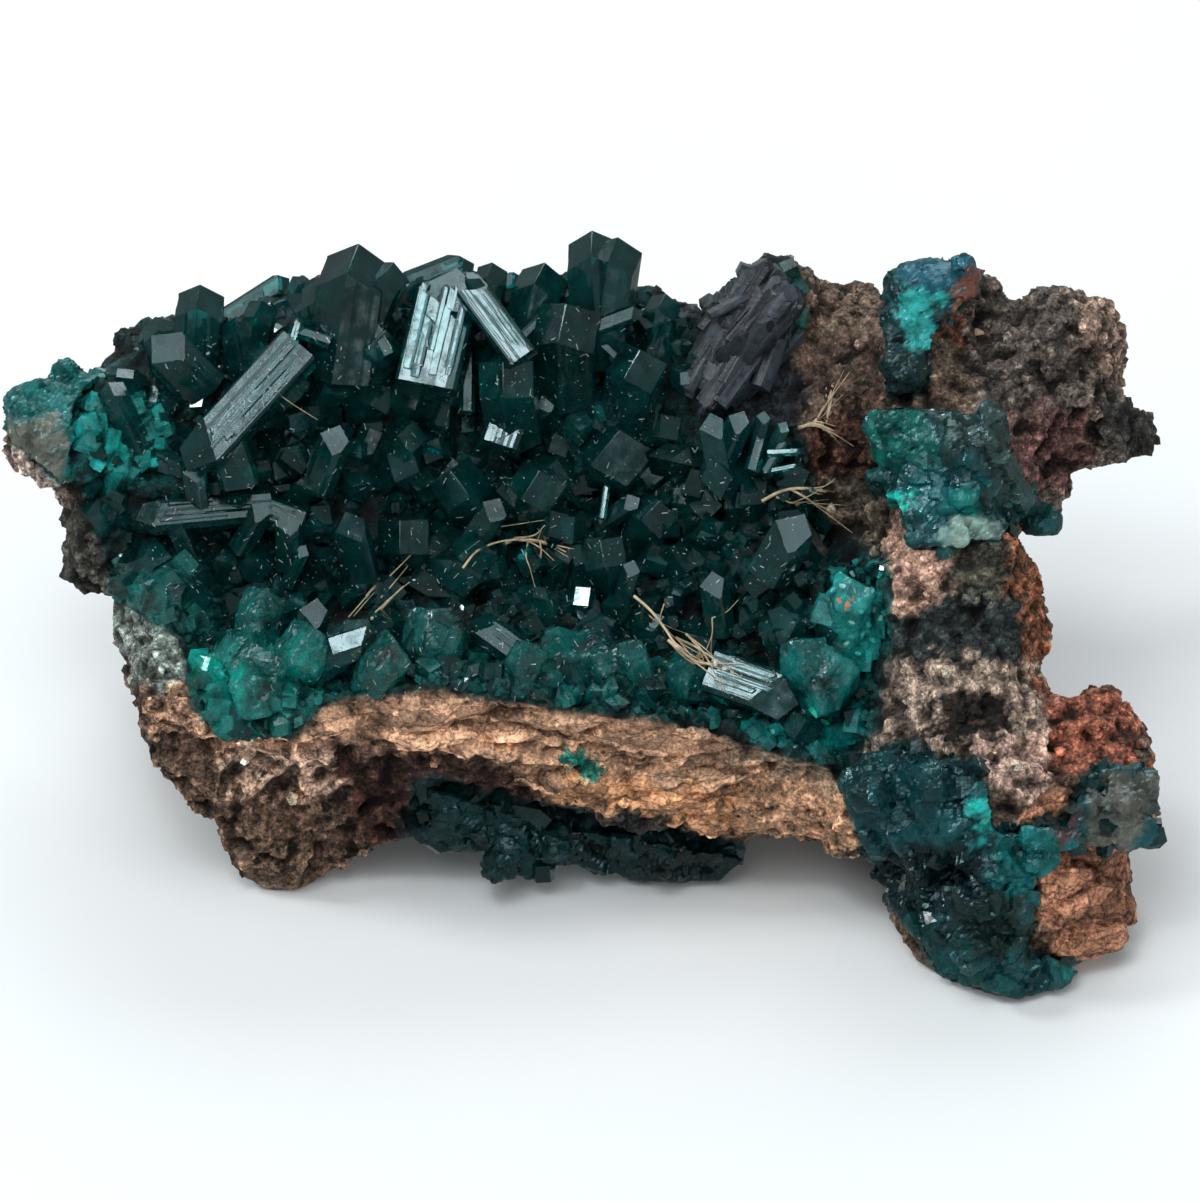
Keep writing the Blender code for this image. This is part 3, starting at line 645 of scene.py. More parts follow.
def shape_rock(obj, props):
    """Roughens the rock and stores its colours. The colours' fourth part is 1 on rough rock, 0.5 on
    broken faces and 0 under crystals."""
    mesh = obj.data
    points, normals = positions(mesh), normals_of(mesh)
    colours, blocks = zoned(points, normals, ZONES, tuple(props.brown))
    floors = np.zeros(len(points))
    cols, rows = in_view(points)
    away = np.clip(0.3 - normals @ np.array(OUT), 0, 1)
    patches = np.array([noise.fractal(Vector(p) / PATCH_SIZE, 1.0, 2.1, 3) for p in points]) * away
    colours *= np.clip(1 + np.outer(patches, (0.9, 0.6, 0.4)), 0.45, 1.7)
    behind = normals @ np.array(OUT) < 0
    hollow = np.maximum(soft_inside(cols, rows, CRYSTAL_OUTLINE, 8), behind)
    for node, (reach, colour) in FLOORS.items():
        share = near_node(points, node, reach)
        if node == "main_druse":
            share *= hollow
        colours += (np.array(colour) - colours) * share[:, None]
        floors = np.maximum(floors, share)
    for outline, colour in TEAL_REGIONS:
        share = floors * soft_inside(cols, rows, outline, 16)
        colours += (np.array(colour) * 0.25 - colours) * share[:, None]
    low = np.clip(points[:, 2] / (1.5 * MM), 0, 1)
    heights, shades = rock_heights(points, blocks * (1 - floors), props.grit)
    # painted shade: the colours darken in pits and cracks and lighten on ridges
    colours *= np.clip(1.05 + 1.5 * shades, 0.12, 2.4)[:, None]
    push(mesh, points, normals, heights * low)
    calm = np.clip(blocks * 1.25 - 0.25, 0, 1) * 0.5
    colour_points(mesh, "tone", np.clip(colours, 0, 1), (1 - calm) * (1 - floors))
    mesh.update()


class DIOPTASE_OT_rock(bpy.types.Operator):
    """Builds the granular host rock"""

    bl_idname = "dioptase.rock"
    bl_label = "Rock"

    def execute(self, context):
        props = context.scene.dioptase_rock
        obj = fine_copy("matrix", "rock", props.voxel, 4)
        shape_rock(obj, props)
        obj.data.materials.append(rock_material("rock"))
        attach(obj, "root")
        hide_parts("matrix")
        return {"FINISHED"}


# The crystals


class Crystal(NamedTuple):
    """A crystal: the column and row of its tip, the way it points in the view in degrees clockwise
    from up, how far it leans out of the view in degrees, its width and its length in columns, which
    of its faces is bright: cap, side or none, how many degrees that face is turned off the brightest
    way, how many millimetres the crystal is raised towards the eye, the breadth that its sides are
    trimmed to, as a part of its width, and its make: clear or milky."""

    col: float
    row: float
    turn: float
    lean: float
    width: float
    length: float
    bright: str = "none"
    off: float = 0
    out: float = 0
    trim: float = 1
    make: str = "clear"


LARGE_CRYSTALS = [
    # the rim, from the left
    Crystal(108, 382, -25, 20, 34, 60),
    Crystal(155, 316, -12, 10, 38, 46),
    Crystal(152, 336, -48, 0, 58, 64, "cap", 2.5, 1.5, 0.9),
    Crystal(200, 284, 2, 20, 54, 80),
    Crystal(186, 318, -20, 0, 12, 24, "side", 4, 2.5),
    Crystal(198, 314, -14, 0, 9, 26, "side", 2, 2.5),
    Crystal(236, 316, -10, 20, 40, 50),
    Crystal(288, 277, 55, 0, 30, 70, "side", 8, 1, 0.7),
    Crystal(274, 303, 60, 0, 10, 36, "side", 2, 2.5),
    Crystal(262, 300, 10, 30, 36, 60),
    Crystal(322, 276, -4, 15, 52, 60),
    Crystal(359, 243, 8, 14, 78, 120),
    Crystal(394, 262, 24, 20, 44, 90),
    Crystal(354, 290, -26, 0, 20, 58, "side", 9, 3, 0.8),
    Crystal(474, 263, 66, 0, 44, 52, "side", 13, 0, 0.8),
    Crystal(494, 272, 66, 0, 14, 40, "side", 8, 1.5, 0.8),
    Crystal(545, 262, 12, 15, 58, 76),
    Crystal(520, 275, 62, 0, 20, 42, "side", 10, 1.5, 0.7),
    Crystal(592, 230, -4, 16, 62, 120),
    Crystal(618, 237, 8, 22, 56, 112),
    Crystal(642, 311, 68, 0, 22, 44, "side", 6, 3, 0.7),
    Crystal(666, 293, 14, 20, 38, 50),
    # the striated group
    Crystal(457, 268, 11, 0, 112, 114, "side", 2.5, 3.5, 0.56),
    Crystal(492, 262, 6, 20, 36, 70, "none", 0, 0),
    Crystal(460, 276, -35, 0, 52, 92, "side", 2, 5.2, 0.6),
    Crystal(466, 273, -36, 0, 22, 90, "side", 20, 4.6, 0.6),
    Crystal(503, 362, -10, 50, 64, 92, "none", 0, 3),
    Crystal(532, 360, 17, 0, 62, 78, "side", 0, 4, 0.62),
    Crystal(468, 320, 2, 0, 16, 78, "side", 12, 3),
    # the long prism and the flat ends beside it
    Crystal(188, 472, -140, 0, 78, 150, "side", 6, 3.5, 0.56),
    Crystal(215, 444, -140, 0, 40, 88, "side", 3, 4.2, 0.6),
    Crystal(221, 424, -20, 0, 48, 50, "cap", 6, 4, 0.8),
    Crystal(136, 520, -98, 0, 46, 118, "side", 15, 2, 0.7),
    Crystal(300, 318, 14, 0, 12, 18, "side", 4, 3),
    Crystal(296, 331, -70, 0, 14, 18, "side", 8, 3),
    Crystal(362, 327, -20, 0, 20, 30, "cap", 9, 2, 0.94),
    Crystal(340, 425, 20, 0, 46, 56, "cap", 14, 1.5, 0.7),
    Crystal(193, 463, -6, 0, 30, 40, "cap", 5, 1.5, 0.86),
    Crystal(228, 498, -70, 0, 40, 60, "side", 12, 1.5, 0.8),
    Crystal(170, 512, -30, 0, 30, 40, "cap", 12, 1.5, 0.58),
    Crystal(268, 502, 36, 0, 34, 44, "cap", 6, 1.8, 0.62),
    Crystal(288, 512, 0, 0, 36, 44, "cap", 4, 1.6, 0.8),
    Crystal(306, 545, 30, 0, 20, 30, "cap", 6, 1.5, 0.94),
    Crystal(346, 512, -20, 0, 48, 60, "cap", 14, 1.5, 0.7),
    # the middle
    Crystal(566, 304, 0, 42, 74, 100, "none", 0, 0.5),
    Crystal(555, 304, 43, 0, 16, 44, "side", 13, 2.5),
    Crystal(600, 343, -44, 0, 12, 50, "side", 12, 2.5),
    Crystal(558, 397, 70, 0, 34, 40, "cap", 16, 1.5, 0.86),
    Crystal(607, 484, 6, 0, 8, 18, "side", 1, 2.5),
    Crystal(640, 350, 10, 48, 60, 90),
    Crystal(386, 330, 25, 45, 52, 80),
    Crystal(414, 420, 30, 30, 44, 60),
    Crystal(300, 400, 130, 40, 48, 80),
    Crystal(350, 360, -20, 50, 50, 60),
    Crystal(620, 430, 10, 60, 80, 60),
    Crystal(450, 470, -30, 50, 60, 60),
    Crystal(540, 470, 10, 55, 60, 60),
    Crystal(400, 520, -10, 50, 60, 60),
    Crystal(480, 540, 20, 60, 50, 50),
    Crystal(600, 540, -14, 50, 50, 60),
    Crystal(660, 500, 24, 40, 50, 60),
    Crystal(710, 413, -14, 0, 42, 50, "cap", 9, 1.5, 0.58),
    Crystal(744, 411, 25, 0, 36, 44, "cap", 9, 1.5, 0.62),
    Crystal(764, 411, 10, 0, 20, 30, "cap", 12, 1.5, 0.8),
    Crystal(763, 430, 14, 0, 16, 26, "side", 6, 2),
    Crystal(786, 422, 30, 0, 18, 30, "cap", 9, 1.5, 0.94),
    Crystal(788, 437, 30, 0, 16, 26, "side", 9, 2),
    Crystal(800, 452, 90, 0, 8, 14, "side", 0, 2.5),
    Crystal(798, 466, 80, 0, 7, 16, "side", 0, 2.5),
    Crystal(640, 498, 60, 0, 28, 36, "cap", 17, 1.5, 0.7),
    Crystal(634, 560, 20, 0, 26, 34, "cap", 6, 1.5, 0.86),
    Crystal(712, 571, -8, 0, 42, 50, "cap", 5, 1.5, 0.58),
    Crystal(804, 514, 30, 0, 62, 60, "cap", 17, 1.5, 0.62),
    Crystal(778, 512, -50, 0, 44, 50, "cap", 17, 1.2, 0.8),
    Crystal(800, 545, 60, 0, 50, 50, "cap", 13, 0.5, 0.94),
    Crystal(536, 586, -30, 0, 24, 34, "cap", 12, 1.5, 0.7),
    Crystal(500, 498, 30, 0, 38, 46, "cap", 24, 1, 0.86),
    # the lower rim
    Crystal(370, 627, 66, 0, 54, 54, "cap", 0, 4.2, 0.8),
    Crystal(382, 635, 73, 0, 36, 32, "side", 0, 7),
    Crystal(471, 620, -52, 0, 44, 60, "side", 7, 2, 0.8),
    Crystal(318, 598, 10, 0, 44, 50, "cap", 16, 1, 0.62),
    Crystal(434, 606, 0, 40, 70, 60, "none", 0, 1.5, 1, "milky"),
    Crystal(266, 586, 10, 30, 54, 60, "none", 0, 1, 1, "milky"),
    Crystal(316, 628, 20, 50, 66, 60, "none", 0, 1.5, 1, "milky"),
    Crystal(396, 640, 30, 50, 54, 60, "none", 0, 1, 1, "milky"),
    Crystal(798, 704, 112, 0, 74, 76, "side", 1.5, 3, 0.6),
    Crystal(690, 704, 175, 55, 50, 60, "none", 0, 0, 1, "milky"),
    Crystal(800, 640, -12, 52, 60, 80, "none", 0, 0, 1, "milky"),
    Crystal(838, 652, 14, 52, 56, 80, "none", 0, 0, 1, "milky"),
    Crystal(822, 716, 170, 50, 50, 70, "none", 0, 0, 1, "milky"),
    Crystal(852, 578, 10, 50, 54, 70, "none", 0, 0, 1, "milky"),
    Crystal(225, 664, -120, 55, 54, 66, "none", 0, 1, 1, "milky"),
    Crystal(262, 716, 172, 52, 60, 66, "none", 0, 1, 1, "milky"),
    Crystal(560, 684, 180, 58, 46, 60, "none", 0, 0, 1, "milky"),
    Crystal(604, 676, 160, 58, 40, 56, "none", 0, 0, 1, "milky"),
    Crystal(368, 686, 176, 58, 50, 60, "none", 0, 0, 1, "milky"),
    Crystal(530, 640, 10, 40, 46, 50, "none", 0, 0, 1, "milky"),
    Crystal(620, 640, -20, 40, 46, 50, "none", 0, 0, 1, "milky"),
]
ROOT_DEPTH = 1.5 * MM


def cap_normals():
    """The three cap faces of a crystal that stands along Z, each above every other prism edge."""
    for third in range(3):
        around = math.radians(120 * third)
        slope = math.sin(CAP_SLOPE)
        yield Vector((slope * math.cos(around), slope * math.sin(around), math.cos(CAP_SLOPE)))


def cut_off(bm, point, normal):
    """Cuts away what lies beyond a plane, and closes the cut."""
    geom = bm.verts[:] + bm.edges[:] + bm.faces[:]
    cut = bmesh.ops.bisect_plane(bm, geom=geom, plane_co=point, plane_no=normal, clear_outer=True)
    rim = [e for e in cut["geom_cut"] if isinstance(e, bmesh.types.BMEdge)]
    if rim:
        bmesh.ops.edgeloop_fill(bm, edges=rim)


def capped(bm, length):
    """Cuts a prism along Z to its three cap faces, which meet at this height."""
    for normal in cap_normals():
        cut_off(bm, (0, 0, length), normal)
    bmesh.ops.recalc_face_normals(bm, faces=bm.faces)


FRONT = Vector((math.cos(math.radians(30)), -0.5, 0))
ACROSS = Vector((0.5, math.cos(math.radians(30)), 0))


def grooved_prism(radius, length, ribs, depth, chance, trim=1.0):
    """A six-sided prism along Z with lengthwise steps in its sides and three cap faces. A trim below 1
    narrows and flattens it about its front face."""
    bm = bmesh.new()
    ring = bmesh.ops.create_circle(bm, segments=6, radius=radius)["verts"]
    bmesh.ops.rotate(bm, verts=ring, matrix=Matrix.Rotation(math.radians(30), 3, "Z"))
    corners = set(ring)
    bmesh.ops.subdivide_edges(bm, edges=bm.edges[:], cuts=ribs)
    level = 0.0
    for vert in sorted(bm.verts, key=lambda v: math.atan2(v.co.y, v.co.x)):
        if vert in corners:
            level = 0.0
        elif chance.random() < 0.5:
            level = depth * chance.random()
        vert.co *= 1 - level / radius
    face = bmesh.ops.contextual_create(bm, geom=bm.edges[:])["faces"]
    top = bmesh.ops.extrude_face_region(bm, geom=face)["geom"]
    raised = [v for v in top if isinstance(v, bmesh.types.BMVert)]
    bmesh.ops.translate(bm, verts=raised, vec=(0, 0, length * 1.02))
    capped(bm, length)
    if trim < 1:
        cut_off(bm, ACROSS * radius * trim, ACROSS)
        cut_off(bm, ACROSS * -radius * trim, -ACROSS)
        bmesh.ops.recalc_face_normals(bm, faces=bm.faces)
        turned = Matrix((FRONT, ACROSS, Vector((0, 0, 1)))).to_4x4()
        bmesh.ops.scale(bm, vec=(0.65, 1, 1), space=turned, verts=bm.verts)
    edges = [
        e for e in bm.edges
        if len(e.link_faces) == 2 and all(f.normal.z > 0.5 for f in e.link_faces)
    ]
    bmesh.ops.bevel(
        bm, geom=edges, offset=radius * 0.03, segments=1, profile=0.5, affect="EDGES", material=-1
    )
    return bm


def placed(bm, root, axis, edge):
    across = (edge - axis * edge.dot(axis)).normalized()
    turned = Matrix((across, axis.cross(across), axis)).transposed()
    bmesh.ops.transform(bm, verts=bm.verts, matrix=Matrix.Translation(root) @ turned.to_4x4())
    return bm


def pointing(turn, lean=0.0):
    """The way in space that points turn degrees clockwise from up and lean degrees out of the view."""
    turn, lean = math.radians(turn), math.radians(lean)
    flat = math.cos(lean)
    return VIEW_AXES @ Vector((math.sin(turn) * flat, math.cos(turn) * flat, math.sin(lean)))


def turned_away(axis, first):
    """The way to a prism edge for which no face of the crystal looks straight to the light."""
    found = []
    for step in range(24):
        edge = Matrix.Rotation(math.radians(first + 5 * step), 3, axis) @ axis.orthogonal().normalized()
        around = [Matrix.Rotation(math.radians(30 * k), 3, axis) @ edge for k in range(12)]
        faces = [axis * math.cos(CAP_SLOPE) + way * math.sin(CAP_SLOPE) for way in around[::4]]
        found.append((max(face.dot(BRIGHT) for face in faces + around[1::2]), edge))
    return min(found, key=lambda pair: pair[0])[1]


def stance(c):
    """The axis of a crystal, and the way from the axis to the prism edge below its first cap face."""
    shine = Matrix.Rotation(math.radians(c.off), 3, UP) @ BRIGHT
    flat = pointing(c.turn)
    level = (flat - shine * flat.dot(shine)).normalized()
    if c.bright == "cap":
        axis = shine * math.cos(CAP_SLOPE) + level * math.sin(CAP_SLOPE)
        return axis, (shine - axis * math.cos(CAP_SLOPE)).normalized()
    if c.bright == "side":
        return level, Matrix.Rotation(math.radians(30), 3, level) @ shine
    axis = pointing(c.turn, c.lean)
    return axis, turned_away(axis, c.col * 7)


class Builder:
    """Gathers crystals of one piece, each with a tint."""

    def __init__(self):
        self.bm = bmesh.new()
        self.tints = []

    def take(self, bm, tint):
        mesh = mesh_of(bm, "crystal")
        self.bm.from_mesh(mesh)
        self.tints += [tint] * len(mesh.vertices)
        bpy.data.meshes.remove(mesh)

    def finish(self, name):
        mesh = mesh_of(self.bm, name)
        colour_points(mesh, "tint", np.array(self.tints))
        return new_object(name, mesh)


def varied(colour, chance, spread=0.25):
    share = 1 + chance.uniform(-spread, spread)
    return tuple(min(1.0, c * share) for c in colour)


def slats(radius, length, depth, chance):
    """Thin prisms that lie along the front face of a crystal and end at different heights."""
    for _ in range(round(4 + radius / (0.5 * MM))):
        size = radius * chance.uniform(0.07, 0.17)
        start = length * chance.uniform(0.0, 0.6)
        span = (length * 0.86 - start) * chance.uniform(0.35, 1.0)
        bm = grooved_prism(size, span, 2, depth * 0.3, chance)
        face = radius * 0.65 * math.cos(math.radians(30))
        at = FRONT * (face - size * 0.62) + ACROSS * radius * chance.uniform(-0.42, 0.42)
        bmesh.ops.translate(bm, verts=bm.verts, vec=at + Vector((0, 0, start)))
        yield bm


class DIOPTASE_OT_large_crystals(bpy.types.Operator):
    """Builds the large grooved crystals of the hollow and its rim"""

    bl_idname = "dioptase.large_crystals"
    bl_label = "Large crystals"

    def execute(self, context):
        props = context.scene.dioptase_crystals
        tree = tree_of("matrix")
        chance = random.Random(11)
        makes = {"clear": Builder(), "milky": Builder()}
        for c in LARGE_CRYSTALS:
            axis, edge = stance(c)
            length = c.length * PIXEL
            radius = c.width * PIXEL / 2
            hit = tree.ray_cast(seen_at(c.col, c.row, EYE_DISTANCE) - axis * length, -OUT)[0]
            if hit is None:
                raise RuntimeError(f"no rock below the crystal at {c.col}, {c.row}")
            root = hit + OUT * c.out * MM - axis * ROOT_DEPTH
            whole = makes[c.make]
            for share in (0.45, 0.8) if c.out > 1.6 else ():
                middle = root + axis * (length + ROOT_DEPTH) * share
                below = tree.ray_cast(middle, -OUT)[0]
                if below is not None and (middle - below).length < 9 * MM:
                    start = below - OUT * ROOT_DEPTH
                    stem = grooved_prism(radius * c.trim * 0.8, (middle - start).length, 1, 0, chance)
                    whole.take(placed(stem, start, OUT, edge), CLEAR_TINT)
            ribs = max(2, round(c.width / 8))
            depth = min(props.grooves, radius * 0.05)
            tint = varied(MILKY_TINT if c.make == "milky" else CLEAR_TINT, chance)
            body = grooved_prism(radius, length + ROOT_DEPTH, ribs, depth, chance, c.trim)
            whole.take(placed(body, root, axis, edge), tint)
            if c.trim < 1 and c.bright == "side":
                for bm in slats(radius, length + ROOT_DEPTH, depth, chance):
                    whole.take(placed(bm, root, axis, edge), tint)
        clear = makes["clear"].finish("large_crystals")
        clear.data.materials.append(clear_dioptase(props))
        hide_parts("main_druse")
        masses = fused(makes["milky"].finish("teal_masses"))
        masses.data.materials.append(milky_dioptase(props))
        for obj in (clear, masses):
            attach(obj, "root")
        return {"FINISHED"}


MASS_CELL = 0.3 * MM


def fused(obj):
    """Grows crystals together into rough masses."""
    softened(obj, MASS_CELL, 2)
    mesh = obj.data
    points, normals = positions(mesh), normals_of(mesh)
    heights = crust_heights(points, 3.0) * 0.35
    colours = zoned(points, normals, [Zone(o, c, 24) for o, c in TEAL_REGIONS], MILKY_TINT)[0]
    push(mesh, points, normals, heights)
    # painted shade: low places of the masses darker, raised ones lighter
    shade = np.clip(0.9 + heights / (0.5 * MM) * 0.5, 0.3, 1.5)
    colour_points(mesh, "tint", np.clip(colours * shade[:, None], 0, 1))
    mesh.update()
    return obj


class Druse(NamedTuple):
    """Small crystals on a part of the rock: the name of their piece, the solid of the crust that they
    belong to, its slot (not used), how many there are, their widths in millimetres, their tint, a
    seed, whether they are clear, and the regions that they stand in, each an outline and a tint. No
    region means everywhere."""

    piece: str
    node: str
    slot: str
    count: int
    widths: tuple
    tint: tuple
    seed: int
    clear: bool
    regions: list = []


CLEAR_TINT = linear(36, 144, 142)
MILKY_TINT = linear(24, 124, 120)
# the turquoise cluster and the feathery patch at the left
PALE_PATCHES = [
    [(822, 566), (890, 560), (890, 655), (830, 655)],
    [(80, 395), (165, 390), (170, 480), (90, 485)],
]
TEAL_REGIONS = [
    ([(190, 640), (290, 620), (330, 650), (330, 700), (290, 745), (220, 745), (190, 700)],
     linear(12, 152, 142)),
    ([(206, 656), (234, 654), (236, 688), (208, 690)], linear(30, 236, 214)),
    ([(330, 640), (440, 620), (560, 650), (700, 670), (720, 725), (560, 710), (440, 690), (330, 704)],
     linear(22, 122, 116)),
    ([(780, 640), (870, 640), (880, 740), (840, 770), (740, 735), (740, 700)], linear(16, 146, 142)),
    (PALE_PATCHES[0], linear(60, 206, 200)),
    (PALE_PATCHES[1], linear(50, 206, 198)),
    ([(112, 560), (200, 560), (216, 660), (170, 660), (112, 620)], linear(44, 134, 126)),
    ([(560, 400), (660, 400), (660, 480), (570, 480)], linear(22, 100, 98)),
]
DRUSES = [
    Druse("hollow_crystals", "main_druse", "dark_dioptase", 1500, (1.3, 4.4), CLEAR_TINT, 21, True),
    Druse("hollow_points", "main_druse", "dark_dioptase", 1400, (0.5, 1.6), CLEAR_TINT, 31, True),
    Druse("teal_crystals", "main_druse", "dark_dioptase", 1500, (0.6, 3.4), MILKY_TINT, 27, False,
          TEAL_REGIONS),
    Druse("left_cap_points", "left_cap", "teal_cap", 160, (0.4, 1.0), linear(30, 140, 136), 22, False),
    Druse("knob_points", "knob_patch", "blue_green_crust", 120, (0.3, 0.9), linear(40, 110, 116), 23, False),
    Druse("right_patch_points", "right_patch", "glassy_teal", 90, (0.5, 1.8), linear(22, 92, 90), 24, False),
    Druse("lower_points", "lower_druse", "lower_dioptase", 420, (0.5, 2.2), linear(18, 66, 68), 25, False),
    Druse("underside_points", "underside_druse", "shaded_dioptase", 420, (0.6, 2.6), linear(26, 100, 100), 26,
          True),
]
TEMPLATE_SHAPES = [(1.0, 1.0), (1.3, 1.0), (1.7, 1.0), (2.2, 0.85), (1.1, 0.7), (1.5, 0.6), (1.9, 0.5)]


class Gathered:
    """Many small shapes in one mesh, each with a colour."""

    def __init__(self):
        self.points, self.faces, self.colours, self.start = [], [], [], 0

    def add(self, points, faces, colour):
        self.points.append(points)
        self.faces += [[v + self.start for v in f] for f in faces]
        self.colours += [colour] * len(points)
        self.start += len(points)

    def finish(self, name, attribute, material):
        mesh = bpy.data.meshes.new(name)
        mesh.from_pydata(np.concatenate(self.points).tolist(), [], self.faces)
        colour_points(mesh, attribute, np.array(self.colours))
        mesh.materials.append(material)
        obj = new_object(name, mesh)
        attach(obj, "root")
        return obj


def shape_of(bm):
    """The points, faces and face normals of a small shape that is used many times."""
    bm.normal_update()
    normals = np.array([f.normal for f in bm.faces])
    mesh = mesh_of(bm, "shape")
    found = positions(mesh), [list(f.vertices) for f in mesh.polygons], normals
    bpy.data.meshes.remove(mesh)
    return found


CRYSTAL_OUTLINE = [
    (70, 402), (100, 372), (140, 322), (172, 296), (240, 286), (330, 262), (400, 254), (640, 236),
    (700, 322), (696, 412), (800, 424), (832, 520), (890, 560), (892, 640), (874, 735), (838, 770),
    (790, 760), (740, 744), (700, 728), (560, 712), (440, 690), (330, 702), (292, 742), (220, 742),
    (190, 704), (182, 640), (112, 600), (100, 545), (70, 500),
]


def templates():
    """Small crystals of width 2 and several lengths, some of them flattened, as points and faces."""
    found = []
    for length, flat in TEMPLATE_SHAPES:
        bm = bmesh.new()
        bmesh.ops.create_cone(bm, cap_ends=True, segments=6, radius1=1, radius2=1, depth=length + 1)
        bmesh.ops.translate(bm, verts=bm.verts, vec=(0, 0, (length - 1) / 2 + 0.01))
        bmesh.ops.rotate(bm, verts=bm.verts, matrix=Matrix.Rotation(math.radians(30), 3, "Z"))
        capped(bm, length)
        bmesh.ops.scale(bm, verts=bm.verts, vec=(1, flat, 1))
        found.append(shape_of(bm))
    return found


def surface_samples(rock, druse, chance):
    """Points spread evenly over the rock's surface under a crust, with their normals."""
    mesh = rock.data
    points = positions(mesh)
    under = (near_node(points, druse.node, 0.7 * MM) > 0.5) & (points[:, 2] > 1 * MM)
    if druse.regions:
        cols, rows = in_view(points)
        inside = [soft_inside(cols, rows, outline, 12) for outline, _ in druse.regions]
        under &= np.max(inside, axis=0) > 0.5
        under &= normals_of(mesh) @ np.array(OUT) > 0
    faces = [f for f in mesh.polygons if all(under[v] for v in f.vertices)]
    areas = [f.area for f in faces]
    for face in chance.choices(faces, weights=areas, k=druse.count):
        corners = [mesh.vertices[v].co for v in face.vertices]
        weights = [chance.random() + 1e-3 for _ in corners]
        total = sum(weights)
        yield sum((c * (w / total) for c, w in zip(corners, weights)), Vector()), face.normal.copy()


SHINE_ANGLE = math.radians(16)
LUCKY_SHARE = 0.04


def shines(shape_normals, turned):
    """Whether a crystal, turned like this, would have a face that mirrors the softbox."""
    return float((shape_normals @ turned.T @ np.array(BRIGHT)).max()) > math.cos(SHINE_ANGLE)


def covered(cols, rows):
    """Where the large crystals that face the light stand, so that nothing hides them."""
    found = np.zeros(len(cols), bool)
    for c in LARGE_CRYSTALS:
        if c.bright != "none":
            way = np.array([math.sin(math.radians(c.turn)), -math.cos(math.radians(c.turn))])
            back = (cols - c.col) * -way[0] + (rows - c.row) * -way[1]
            side = np.abs((cols - c.col) * way[1] - (rows - c.row) * way[0])
            found |= (back > -4) & (back < c.length + 14) & (side < c.width / 2 + 8)
    return found


def small_crystals(rock, druse, shapes):
    """All small crystals of a crust in one mesh."""
    chance = random.Random(druse.seed)
    spots = list(surface_samples(rock, druse, chance))
    cols, rows = in_view(np.array([at for at, _ in spots]))
    hides = covered(cols, rows) & (druse.widths[1] > 2) & (druse.node == "main_druse")
    if druse.clear:
        for outline in PALE_PATCHES:
            hides |= soft_inside(cols, rows, outline, 1) > 0.5
    tints = np.tile(np.array(druse.tint), (len(spots), 1))
    for outline, colour in druse.regions:
        tints += (np.array(colour) - tints) * soft_inside(cols, rows, outline, 20)[:, None]
    gathered = Gathered()
    for (at, normal), hidden, tint in zip(spots, hides, tints):
        share = chance.random() ** 1.8
        width = (druse.widths[0] + (druse.widths[1] - druse.widths[0]) * share) * MM
        if hidden:
            width *= 0.5
        shape, faces, normals = chance.choice(shapes)
        lucky = druse.clear and chance.random() < LUCKY_SHARE
        for _ in range(8):
            stray = Vector([chance.gauss(0, 1) for _ in range(3)])
            axis = (normal + OUT * 0.25 + stray * 0.45).normalized()
            across = (stray.cross(axis)).normalized()
            turned = np.array(Matrix((across, axis.cross(across), axis)).transposed())
            if lucky or not shines(normals, turned):
                break
        size = width / 2
        points = shape * size @ turned.T + np.array(at - axis * size * 0.35)
        out_of_place = points[:, 2].min() < 0.2 * MM
        if druse.node == "main_druse":
            out_of_place |= soft_inside(*in_view(points), CRYSTAL_OUTLINE, 6).min() < 0.5
        if not out_of_place:
            gathered.add(points, faces, varied(tint, chance, 0.35))
    return gathered


class DIOPTASE_OT_small_crystals(bpy.types.Operator):
    """Builds the small crystals between and around the large ones"""

    bl_idname = "dioptase.small_crystals"
    bl_label = "Small crystals"

    def execute(self, context):
        props = context.scene.dioptase_crystals
        rock = bpy.data.objects["rock"]
        shapes = templates()
        materials = {True: clear_dioptase(props), False: milky_dioptase(props)}
        for druse in DRUSES:
            gathered = small_crystals(rock, druse, shapes)
            gathered.finish(druse.piece, "tint", materials[druse.clear])
        return {"FINISHED"}


# The crusts


class Crust(NamedTuple):
    """A crust of grown-together crystals: its piece, the solid that it stands for, its slot (not used), its
    colour, how clear it is, the size of its facets in millimetres and zones of other colours."""

    piece: str
    node: str
    slot: str
    colour: tuple
    clear: float
    facet: float
    zones: list


